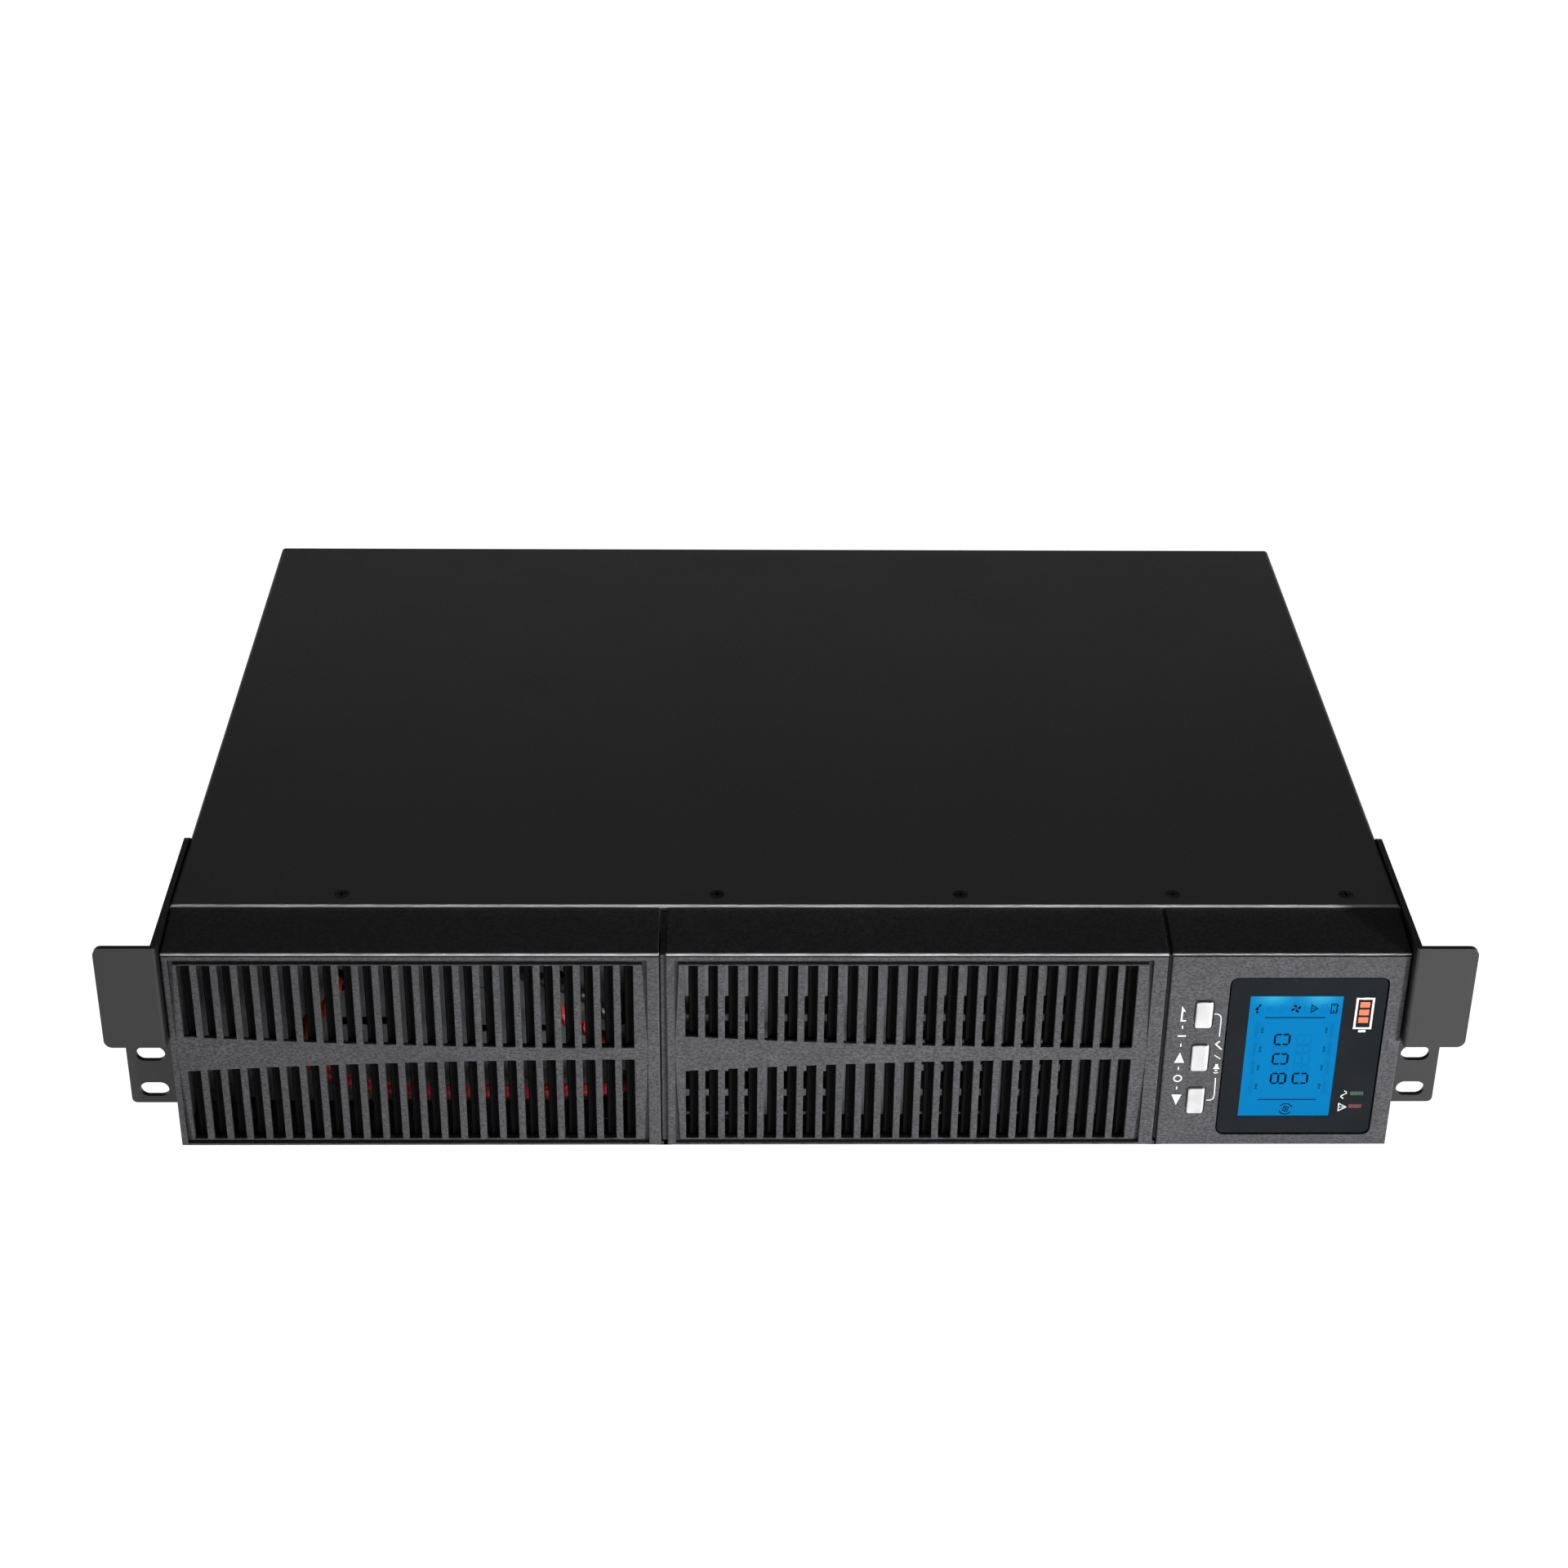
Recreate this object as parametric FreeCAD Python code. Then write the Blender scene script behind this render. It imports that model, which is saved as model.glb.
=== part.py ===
import FreeCAD, Part
import math
import os

# Rackmount uninterruptible power supply, two rack units high, built from separate pieces.
# Millimetres. +X is to the right seen from the front, +Y runs from the front to the rear, +Z is up.
# The origin is at the bottom, in the middle of the whole outline, so the unit stands on z = 0.

V = FreeCAD.Vector
X_DIR, Y_DIR, Z_DIR = V(1, 0, 0), V(0, 1, 0), V(0, 0, 1)

# ---- driving dimensions -------------------------------------------------------------------
BODY_WIDTH = 439.0            # steel case, outside
BODY_HEIGHT = 88.0            # two rack units
BODY_DEPTH = 318.0            # bezel face to rear panel
SHEET = 1.2                   # case sheet thickness
PANEL_WIDTH = 482.6           # 19 inch rack panel width over the ears
EAR_SHEET = 2.0
RACK_HOLE_SPAN = 465.1        # rack hole columns, centre to centre
RACK_HOLE_PITCH = 15.875
BEZEL_HALF_WIDTH = 219.0
BEZEL_DEPTH = 24.6
BEZEL_WALL = 2.2
PROUD = 4.0                   # ears ahead of the bezel face, finger guard behind the rear panel
CLEAR = 0.4                   # gap between pieces that move apart

# ---- places worked out from them ----------------------------------------------------------
HALF_W = BODY_WIDTH / 2
FRONT_Y = -BODY_DEPTH / 2
REAR_Y = BODY_DEPTH / 2
PLATE_Y = FRONT_Y + BEZEL_DEPTH + CLEAR        # front face of the front plate
PLATE_BACK = PLATE_Y + SHEET
INNER_W = HALF_W - SHEET - 0.1                 # panels stand inside the cover by this half width
INNER_TOP = BODY_HEIGHT - SHEET
REAR_IN = REAR_Y - SHEET                       # inner face of the rear panel

# ---- bezel --------------------------------------------------------------------------------
BEZEL_FRONT_TOP = 83.6
BEZEL_REAR_TOP = 87.0
BEZEL_EDGE = 0.6
TOP_LINE_DEPTH = 0.7          # of the fine line under the top edge of each bezel
GRILLE_TOP_LINE = (82.25, 82.75)
CONTROL_TOP_LINE = (82.4, 83.2)
PRONG_INSET = 22.0            # snap prongs, in from each bezel's sides
LEFT_BEZEL = (-BEZEL_HALF_WIDTH, -45.3)
MIDDLE_BEZEL = (-43.0, 133.6)
CONTROL_BEZEL = (134.9, BEZEL_HALF_WIDTH)
GRILLE_COUNT = 23
GRILLE_PITCH = 7.04
GRILLE_SLOT = 4.55
GRILLE_TOP = 78.6
GRILLE_BOTTOM = 3.5
GRILLE_MID = 40.9
GRILLE_WALL = 1.5             # the fins are thinner than the rest of the bezel
SLOT_BREAK = 0.18             # broken edges round the slots
BAR_HALF_MIN = 2.6            # half height of the middle bar at its right end
BAR_RADIUS = 2550.0
LEFT_GRILLE_X = -213.9        # left edge of the first slot
MIDDLE_GRILLE_X = -36.3
GROOVE_WIDTH = 1.8
GROOVE_DEPTH = 1.7
GROOVE_DRAFT = 0.3            # how far each wall of the groove leans in
GROOVE_TOP = 80.85
GROOVE_BOTTOM = 1.25
SEAM_GAP = 0.45               # left open beside the tongue that closes each seam
SEAM_SILL = 0.9               # reach of the lip under the tongue
LOUVRE_Y = FRONT_Y + 3.0      # front of the black slats
LOUVRE_T = 1.4
LOUVRE_LEAD = 1.2             # open strip at the left of each slot
LOUVRE_LAP = 0.6              # slat behind the fin at the right of each slot
SLAT_BREAK = 0.4              # bevel along the left edge of each slat

# ---- display and buttons ------------------------------------------------------------------
DISPLAY_X = (156.3, 212.5)
DISPLAY_Z = (5.0, 73.4)
LCD_X = (164.0, 197.0)
LCD_Z = (12.7, 65.3)
BUTTON_X = 147.8
BUTTON_Z = {"button_return": 58.05, "button_on": 39.3, "button_off": 20.5}
BUTTON_W, BUTTON_H = 6.0, 11.0
BUTTON_GAP = 0.5
BUTTON_BEVEL = 1.2            # width of the sloping strip at each key's right
BUTTON_PROUD = 0.9
BUTTON_TRAVEL = 1.0
INDICATOR_X = 206.2
INDICATOR_Z = {"indicator_green": 22.9, "indicator_red": 17.2}
INDICATOR_W, INDICATOR_H = 5.0, 1.9
BOARD_T = 1.6
CONTROL_BOARD_Y = FRONT_Y + 15.0

# ---- vent panel pressed forward out of the front plate, behind the middle grille -----------
VENT_X = (-39.8, 130.4)
VENT_Y = FRONT_Y + 12.0
VENT_Z = (5.2, 81.2)
VENT_COLUMNS = [(-38.2, -10.6), (-3.6, 18.0), (46.6, 75.0), (82.6, 103.0)]
VENT_ROWS = 5
VENT_LOW = 5.6
VENT_PITCH = 11.0
VENT_HIGH = 8.1

# ---- power electronics --------------------------------------------------------------------
MAIN_BOARD_X = (82.0, 212.0)
MAIN_BOARD_Y = (-118.0, 96.0)
MAIN_BOARD_Z = 8.0
CORE_X, CORE_Y, CORE_Z = (-42.0, 66.0), (-92.0, -44.0), (4.2, 74.2)

# ---- battery bay --------------------------------------------------------------------------
BATTERY = (151.0, 94.0, 65.0)          # 12 V 9 Ah case laid on its side: X, Y, Z
TRAY_SHEET = 1.0
TRAY_X = (-215.4, -62.0)
TRAY_Z = 7.0
TRAY_REAR_Y = 81.0
TRAY_PLATE_Y = PLATE_Y - CLEAR - SHEET          # front face of the tray's front plate
TRAY_PLATE_X = (-216.2, -55.6)
TRAY_PLATE_Z = (5.0, 81.4)
TRAY_EYE = (-209.0, 74.0, 4.0)                   # pull hole in the tray's plate: X, Z, radius
TRAY_SLOT = (-153.5, 39.1, 18.0, 3.3)            # cable tie slot in it: X, Z, length, width
TRAY_TIE_HOLES = [(-110.0, 35.8), (-88.6, 35.8)]
TIE_HOLE_R = 1.5
BAY_OPENING_X = (-216.4, -61.4)
BAY_OPENING_Z = (6.4, 80.2)
BATTERY_FRONT_Y = (-126.0, -16.0)
TERMINAL_X = (-162.0, -84.0)
TERMINAL_Z = 57.0
TERMINAL_LENGTH = 4.5
LEAD_R = 2.4
LEAD_Y = FRONT_Y + 13.0                          # plane of the leads behind the grille
LEAD_HOLES = [(-162.0, 57.0), (-84.0, 57.0), (-98.0, 66.0)]
PLUG_X = (-59.3, -48.3)
PLUG_Z = (30.0, 50.0)
PLUG_FRONT_Y = FRONT_Y + 5.4
SOCKET_FRONT_Y = PLATE_Y - 6.0

# ---- rear panel ---------------------------------------------------------------------------
FAN_X, FAN_Z = 168.0, 44.5
FAN_SIZE, FAN_DEPTH = 80.0, 25.0
FAN_BORE_R = 37.5
FAN_HOLE_SPAN = 71.5
ROTOR_HUB_R = 16.0
ROTOR_TIP_R = 36.3
ROTOR_BLADES = 7
SHAFT_R = 1.5
INLET_X, INLET_Z = 98.0, 26.0
BREAKER_X, BREAKER_Z = 98.0, 60.0
OUTLET_X = (54.0, 16.0)
OUTLET_Z = (27.0, 59.0)
DATA_X = -24.0
JACK_Z, USB_Z, EPO_Z = 62.0, 39.0, 19.0
SERIAL_X, SERIAL_Z = -66.0, 62.0
OPTION_X = (-205.0, -105.0)
OPTION_Z = (22.0, 66.0)
EARTH_X, EARTH_Z = 121.0, 11.0

COVER_SCREW_X = [-159.2, -25.1, 62.2, 138.6, 201.1]
COVER_SCREW_Y = FRONT_Y + 32.1


# ---- shape helpers ------------------------------------------------------------------------
def box(x0, x1, y0, y1, z0, z1):
    return Part.makeBox(x1 - x0, y1 - y0, z1 - z0, V(x0, y0, z0))


def rod(radius, start, direction, length):
    return Part.makeCylinder(radius, length, V(*start), direction)


def prism_x(points_yz, x0, x1):
    """A polygon in the YZ plane, drawn out from x0 to x1."""
    loop = [V(x0, y, z) for y, z in points_yz]
    return Part.Face(Part.makePolygon(loop + loop[:1])).extrude(V(x1 - x0, 0, 0))


def prism_y(points_xz, y0, y1):
    """A polygon in the XZ plane, drawn out from y0 to y1."""
    loop = [V(x, y0, z) for x, z in points_xz]
    return Part.Face(Part.makePolygon(loop + loop[:1])).extrude(V(0, y1 - y0, 0))


def prism_z(points_xy, z0, z1):
    """A polygon in the XY plane, drawn up from z0 to z1."""
    loop = [V(x, y, z0) for x, y in points_xy]
    return Part.Face(Part.makePolygon(loop + loop[:1])).extrude(V(0, 0, z1 - z0))


def polyhedron(points, faces):
    vectors = [V(*p) for p in points]
    flat = [Part.Face(Part.makePolygon([vectors[i] for i in f] + [vectors[f[0]]])) for f in faces]
    return Part.Solid(Part.Shell(flat))


def rounded_box(x0, x1, y0, y1, z0, z1, radius, axis="y"):
    """A box whose four edges along one axis are rounded."""
    solid = box(x0, x1, y0, y1, z0, z1)
    direction = {"x": X_DIR, "y": Y_DIR, "z": Z_DIR}[axis]
    edges = [e for e in solid.Edges if abs(e.tangentAt(e.FirstParameter).dot(direction)) > 0.99]
    return solid.makeFillet(radius, edges)


def slot_y(cx, cz, length, width, y0, y1):
    """An obround hole along X, cut through along Y."""
    r = width / 2
    reach = length / 2 - r
    middle = box(cx - reach, cx + reach, y0, y1, cz - r, cz + r)
    ends = [rod(r, (cx + side * reach, y0, cz), Y_DIR, y1 - y0) for side in (-1, 1)]
    return middle.fuse(ends)


def cut(solid, tools):
    return solid.cut(tools) if tools else solid


def merge(solids):
    return solids[0].fuse(solids[1:]).removeSplitter() if len(solids) > 1 else solids[0]


def moved(shape, x=0.0, y=0.0, z=0.0):
    copy = shape.copy()
    copy.translate(V(x, y, z))
    return copy


def pan_screw(start, direction, head_r, head_h, shank_r, shank_l):
    """A pan head outside the face at start, with a cross recess, and a shank inwards."""
    head = Part.makeCylinder(head_r, head_h, V(0, 0, 0), Z_DIR)
    rim = [e for e in head.Edges if e.Closed and e.CenterOfMass.z > head_h / 2]
    head = head.makeFillet(head_h * 0.45, rim)
    arm, half, deep = head_r * 0.62, head_r * 0.11, head_h * 0.55
    cross = [box(-arm, arm, -half, half, head_h - deep, head_h + 1),
             box(-half, half, -arm, arm, head_h - deep, head_h + 1)]
    shank = Part.makeCylinder(shank_r, shank_l, V(0, 0, -shank_l), Z_DIR)
    screw = merge([cut(head, cross), shank])
    screw.Placement = FreeCAD.Placement(V(*start), FreeCAD.Rotation(Z_DIR, direction))
    return screw


def lead_tube(points, radius):
    """A round lead along straight runs joined by tangent arcs, each as large as its runs allow."""
    pts = [V(*p) for p in points]
    edges, here = [], pts[0]
    for before, corner, after in zip(pts, pts[1:], pts[2:]):
        into, out = (corner - before), (after - corner)
        reach = 0.45 * min(into.Length, out.Length)
        into.normalize()
        out.normalize()
        start, end = corner - into * reach, corner + out * reach
        half_turn = math.acos(max(-1.0, min(1.0, into.dot(out)))) / 2
        bend = reach / math.tan(half_turn)
        inward = out - into
        inward.normalize()
        centre = corner + inward * (bend / math.cos(half_turn))
        middle = centre - inward * bend
        edges += [Part.LineSegment(here, start).toShape(), Part.Arc(start, middle, end).toShape()]
        here = end
    edges.append(Part.LineSegment(here, pts[-1]).toShape())
    wire = Part.Wire(edges)
    ring = Part.Wire(Part.makeCircle(radius, pts[0], pts[1] - pts[0]))
    return wire.makePipe(Part.Face(ring))


def save(name, *solids):
    """Write one node: its pieces stay separate solids in one file."""
    loose = [s for shape in solids for s in shape.Solids]
    for solid in loose:
        if not solid.isValid() or solid.Volume <= 0:
            raise ValueError(f"{name} holds a bad solid")
    shape = loose[0] if len(loose) == 1 else Part.makeCompound(loose)
    shape.exportStep(os.path.join("parts", name + ".step"))


# ---- steel case ---------------------------------------------------------------------------
def bottom_pan():
    floor = box(-INNER_W, INNER_W, PLATE_BACK, REAR_IN, 0, SHEET)
    lips = [box(side * INNER_W - (SHEET if side > 0 else 0), side * INNER_W + (SHEET if side < 0 else 0),
                PLATE_BACK, REAR_IN, SHEET, 14.0) for side in (-1, 1)]
    save("bottom_pan", merge([floor] + lips))


def top_cover():
    outer = box(-HALF_W, HALF_W, PLATE_Y, REAR_Y, 0.3, BODY_HEIGHT)
    corners = [e for e in outer.Edges
               if abs(e.tangentAt(e.FirstParameter).y) > 0.99 and e.CenterOfMass.z > 80]
    outer = outer.makeFillet(1.8, corners)
    front = [e for e in outer.Edges
             if e.BoundBox.YMax < PLATE_Y + 0.01 and e.CenterOfMass.z > BODY_HEIGHT - 1]
    outer = outer.makeFillet(0.35, front)
    inner = box(-HALF_W + SHEET, HALF_W - SHEET, PLATE_Y - 1, REAR_Y + 1, -1, INNER_TOP)
    sinks = [Part.makeCone(1.6, 2.8, SHEET, V(x, COVER_SCREW_Y, INNER_TOP), Z_DIR) for x in COVER_SCREW_X]
    side_holes = [rod(2.0, (-HALF_W - 1, y, z), X_DIR, BODY_WIDTH + 2) for y, z in ear_screw_places()]
    save("top_cover", cut(outer, [inner] + sinks + side_holes))


def cover_screws():
    screws = []
    for x in COVER_SCREW_X:
        head = Part.makeCone(1.6, 2.75, SHEET, V(x, COVER_SCREW_Y, INNER_TOP), Z_DIR)
        shank = rod(1.45, (x, COVER_SCREW_Y, INNER_TOP - 6.0), Z_DIR, 6.0)
        arm, half, floor = 1.5, 0.28, BODY_HEIGHT - 0.8
        cross = [box(x - arm, x + arm, COVER_SCREW_Y - half, COVER_SCREW_Y + half, floor, BODY_HEIGHT + 1),
                 box(x - half, x + half, COVER_SCREW_Y - arm, COVER_SCREW_Y + arm, floor, BODY_HEIGHT + 1)]
        screws.append(cut(merge([head, shank]), cross))
    save("cover_screws", *screws)


def prong_places():
    """Centres, in X, of the bezel prongs, which sit at the top and the bottom of the front plate."""
    return [x for x0, x1 in (LEFT_BEZEL, MIDDLE_BEZEL, CONTROL_BEZEL)
            for x in (x0 + PRONG_INSET, x1 - PRONG_INSET)]


def front_plate():
    plate = box(-INNER_W, INNER_W, PLATE_Y, PLATE_BACK, 0, INNER_TOP)
    top_lip = box(-INNER_W, INNER_W, PLATE_BACK, PLATE_BACK + 12.0, INNER_TOP - SHEET, INNER_TOP)
    hood = box(*VENT_X, VENT_Y, PLATE_Y, *VENT_Z)
    hollow = box(VENT_X[0] + SHEET, VENT_X[1] - SHEET, VENT_Y + SHEET, PLATE_BACK + 1, VENT_Z[0] + SHEET,
                 VENT_Z[1] - SHEET)
    body = cut(merge([plate, top_lip, hood]), [hollow])
    holes = [box(BAY_OPENING_X[0], BAY_OPENING_X[1], PLATE_Y - 1, PLATE_BACK + 1, *BAY_OPENING_Z)]
    holes.append(box(155.0, 205.0, PLATE_Y - 1, PLATE_BACK + 1, 22.0, 60.0))
    for i in range(VENT_ROWS):
        low = max(VENT_LOW + i * VENT_PITCH, VENT_Z[0] + SHEET)
        high = VENT_LOW + i * VENT_PITCH + VENT_HIGH
        holes += [box(x0, x1, VENT_Y - 1, VENT_Y + SHEET + 1, low, high) for x0, x1 in VENT_COLUMNS]
    holes.append(box(PLUG_X[0] + 0.4, PLUG_X[1] - 0.4, PLATE_Y - 1, PLATE_BACK + 1, PLUG_Z[0] + 0.4,
                     PLUG_Z[1] - 0.4))
    for x in prong_places():
        holes += [box(x - 6.0, x + 6.0, PLATE_Y - 1, PLATE_BACK + 1, z0, z1)
                  for z0, z1 in ((1.8, 4.6), (81.8, 84.6))]
    holes += [rod(2.2, (x, PLATE_Y - 1, z), Y_DIR, SHEET + 2) for x, z in tray_screw_places()]
    holes += [rod(1.45, (x, COVER_SCREW_Y, INNER_TOP - 3), Z_DIR, 6) for x in COVER_SCREW_X]
    save("front_plate", cut(body, holes))


def bay_wall():
    x0 = TRAY_X[1] + 3.0
    wall = box(x0, x0 + SHEET, PLATE_BACK + 8.0, TRAY_REAR_Y + 12.0, SHEET, INNER_TOP - 2 * SHEET)
    foot = box(x0 + SHEET, x0 + 8.0, PLATE_BACK + 12.0, TRAY_REAR_Y + 12.0, SHEET, 2 * SHEET)
    save("bay_wall", merge([wall, foot]))


def tray_rails():
    top = TRAY_Z - CLEAR
    rails = []
    for x in (TRAY_X[0] + 8.0, TRAY_X[1] - 20.0):
        rail = rounded_box(x, x + 12.0, PLATE_BACK + 6.0, TRAY_REAR_Y, SHEET, top, 0.8, "y")
        stop = box(x, x + 12.0, TRAY_REAR_Y + CLEAR, TRAY_REAR_Y + 4.0, SHEET, 22.0)
        rails += [rail, stop]
    save("tray_rails", *rails)


# ---- rack ears ----------------------------------------------------------------------------
def ear_screw_places():
    return [(y, z) for y in (PLATE_Y + 12.0, PLATE_Y + 36.0) for z in (20.0, 68.0)]


def rack_ear(side):
    """A bent sheet: a side plate, a plain tab ahead of the bezel and a slotted flange beside it."""
    side_in, side_out, tip = HALF_W, HALF_W + EAR_SHEET, PANEL_WIDTH / 2
    tab_y, bottom, top, step = FRONT_Y - PROUD, 1.2, 88.4, 46.5
    rear = PLATE_Y + 48.0
    outline = [(PLATE_Y, bottom), (PLATE_Y, step - 2.5), (PLATE_Y - 1.2, step - 2.5), (PLATE_Y - 1.2, step),
               (tab_y, step), (tab_y, top), (rear, top), (rear, bottom)]
    plate = prism_x(outline, side_in, side_out)
    rear_corners = [e for e in plate.Edges
                    if abs(e.tangentAt(e.FirstParameter).x) > 0.99 and abs(e.CenterOfMass.y - rear) < 0.1]
    plate = plate.makeFillet(4.0, rear_corners)
    tab = box(side_out, tip, tab_y, tab_y + EAR_SHEET, step, top)
    flange = box(side_out, tip, PLATE_Y, PLATE_Y + EAR_SHEET, bottom, step - 1.0)
    tab = tab.makeFillet(3.0, [e for e in tab.Edges if tip_edge(e, tip)])
    flange = flange.makeFillet(2.0, [e for e in flange.Edges if tip_edge(e, tip)])
    slots = [slot_y(RACK_HOLE_SPAN / 2, z, 10.6, 6.2, PLATE_Y - 1, PLATE_Y + EAR_SHEET + 1)
             for z in rack_slot_heights()]
    holes = [rod(2.15, (side_in - 1, y, z), X_DIR, EAR_SHEET + 2) for y, z in ear_screw_places()]
    ear = cut(merge([plate, tab, flange]), slots + holes)
    bends = [e for e in ear.Edges if abs(e.tangentAt(e.FirstParameter).z) > 0.99 and e.Length > 20
             and abs(e.CenterOfMass.x - side_in) < 0.01 and e.CenterOfMass.y < PLATE_Y + 0.1]
    ear = ear.makeFillet(1.2, bends)
    return ear if side > 0 else ear.mirror(V(0, 0, 0), X_DIR)


def tip_edge(edge, tip):
    return abs(edge.tangentAt(edge.FirstParameter).y) > 0.99 and abs(edge.CenterOfMass.x - tip) < 0.1


def rack_slot_heights():
    lowest = 7.2
    return [lowest, lowest + RACK_HOLE_PITCH]


def rack_ears():
    save("rack_ear_left", rack_ear(-1))
    save("rack_ear_right", rack_ear(1))
    screws = [pan_screw((side * (HALF_W + EAR_SHEET), y, z), X_DIR * side, 3.6, 1.8, 1.95, 4.4)
              for side in (-1, 1) for y, z in ear_screw_places()]
    save("ear_screws", *screws)


# ---- bezel --------------------------------------------------------------------------------
def bezel_shell(x0, x1):
    """A hollow cover, open at the rear, with a sloping top and rounded front edges."""
    bottom = 0.2
    rear = FRONT_Y + BEZEL_DEPTH
    outer = prism_x([(FRONT_Y, bottom), (FRONT_Y, BEZEL_FRONT_TOP), (rear, BEZEL_REAR_TOP), (rear, bottom)],
                    x0, x1)
    front_edges = [e for e in outer.Edges if all(abs(v.Y - FRONT_Y) < 0.01 for v in e.Vertexes)]
    slope_edges = [e for e in outer.Edges if abs(e.tangentAt(e.FirstParameter).x) < 0.01
                   and 84.5 < e.CenterOfMass.z < 86.0 and e.CenterOfMass.y > FRONT_Y + 5]
    outer = outer.makeFillet(BEZEL_EDGE, front_edges + slope_edges)
    w, slope = BEZEL_WALL, (BEZEL_REAR_TOP - BEZEL_FRONT_TOP) / BEZEL_DEPTH
    inner_top = BEZEL_FRONT_TOP - w + slope * w
    inner = prism_x([(FRONT_Y + w, bottom + w), (FRONT_Y + w, inner_top),
                     (rear + 1, inner_top + slope * (BEZEL_DEPTH + 1 - w)),
                     (rear + 1, bottom + w)], x0 + w, x1 - w)
    return cut(outer, [inner])


def seam_tongue(face_x, gap, set_back):
    """A recessed lip on the bezel's left side that closes the seam to its neighbour."""
    rear = FRONT_Y + BEZEL_DEPTH
    slope = (BEZEL_REAR_TOP - BEZEL_FRONT_TOP) / BEZEL_DEPTH

    def profile(inset, rear_y, low):
        front = FRONT_Y + inset
        top = [BEZEL_FRONT_TOP - inset + slope * (y - FRONT_Y) for y in (front, rear_y)]
        return [(front, low), (front, top[0]), (rear_y, top[1]), (rear_y, low)]

    left, right = face_x - gap + SEAM_GAP, face_x + 0.6
    outer, inner = profile(set_back, rear, 1.8), profile(set_back + 1.2, rear + 1, 3.0)
    return cut(prism_x(outer, left, right), [prism_x(inner, left - 1, right + 1)])


def seam_sill(face_x):
    """A thin lip low on the bezel's right side: it passes under its neighbour's tongue."""
    rear = FRONT_Y + BEZEL_DEPTH
    return box(face_x - 1.0, face_x + SEAM_SILL, FRONT_Y + 0.8, rear, 0.2, 1.4)


def bezel_prongs(x0, x1):
    """Four hooks that snap through the front plate."""
    width, tip = 10.0, PLATE_BACK + 3.4
    root = FRONT_Y + 12.0
    prongs = []
    for x in (x0 + PRONG_INSET, x1 - PRONG_INSET):
        left, right = x - width / 2, x + width / 2
        low = [(root, 2.3), (tip, 2.4), (tip, 3.6), (PLATE_BACK + 1.6, 4.2), (PLATE_BACK + 0.4, 4.2),
               (PLATE_BACK + 0.4, 3.6), (root, 3.6)]
        high = [(root, 82.4), (PLATE_BACK + 0.4, 82.9), (PLATE_BACK + 0.4, 82.2), (PLATE_BACK + 1.6, 82.2),
                (tip, 82.9), (tip, 84.2), (FRONT_Y + 21.0, 84.2), (root, 83.6)]
        prongs += [prism_x(low, left, right), prism_x(high, left, right)]
    return prongs


def top_line(x0, x1, heights):
    """The fine line that runs under a bezel's top edge."""
    return box(x0 - 1, x1 + 1, FRONT_Y - 1, FRONT_Y + TOP_LINE_DEPTH, *heights)


def bar_half(x, right):
    """Half height of the middle bar, which thins along an arc towards its right end."""
    return BAR_HALF_MIN + (right - x) ** 2 / (2 * BAR_RADIUS)


def slot_tools(corners):
    """One slot through the bezel's face and the broken edge round its mouth; corners run
    left low, right low, right high, left high."""
    (left, low_left), (right, low_right), (_, high_right), (_, high_left) = corners
    spread = 2 * SLOT_BREAK
    low_slope = (low_right - low_left) / (right - left)
    high_slope = (high_right - high_left) / (right - left)
    mouth = [(left - spread, low_left - spread * (1 + low_slope)),
             (right + spread, low_right - spread * (1 - low_slope)),
             (right + spread, high_right + spread * (1 + high_slope)),
             (left - spread, high_left + spread * (1 - high_slope))]
    points = ([(x, FRONT_Y - SLOT_BREAK, z) for x, z in mouth]
              + [(x, FRONT_Y + SLOT_BREAK, z) for x, z in corners])
    faces = [(0, 1, 2, 3), (4, 5, 6, 7)] + [(i, (i + 1) % 4, 4 + (i + 1) % 4, 4 + i) for i in range(4)]
    return [prism_y(corners, FRONT_Y - 1, FRONT_Y + GRILLE_WALL + 0.5), polyhedron(points, faces)]


def grille_slots(first_x):
    """All the slots of one grille, and the pocket behind them that thins the fins."""
    last_right = first_x + (GRILLE_COUNT - 1) * GRILLE_PITCH + GRILLE_SLOT
    tools = [box(first_x, last_right, FRONT_Y + GRILLE_WALL, FRONT_Y + BEZEL_WALL + 0.5, GRILLE_BOTTOM,
                 GRILLE_TOP)]
    for i in range(GRILLE_COUNT):
        left = first_x + i * GRILLE_PITCH
        right = left + GRILLE_SLOT
        a, b = bar_half(left, last_right), bar_half(right, last_right)
        tools += slot_tools([(left, GRILLE_MID + a), (right, GRILLE_MID + b), (right, GRILLE_TOP),
                             (left, GRILLE_TOP)])
        tools += slot_tools([(left, GRILLE_BOTTOM), (right, GRILLE_BOTTOM), (right, GRILLE_MID - b),
                             (left, GRILLE_MID - a)])
    return tools


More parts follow.
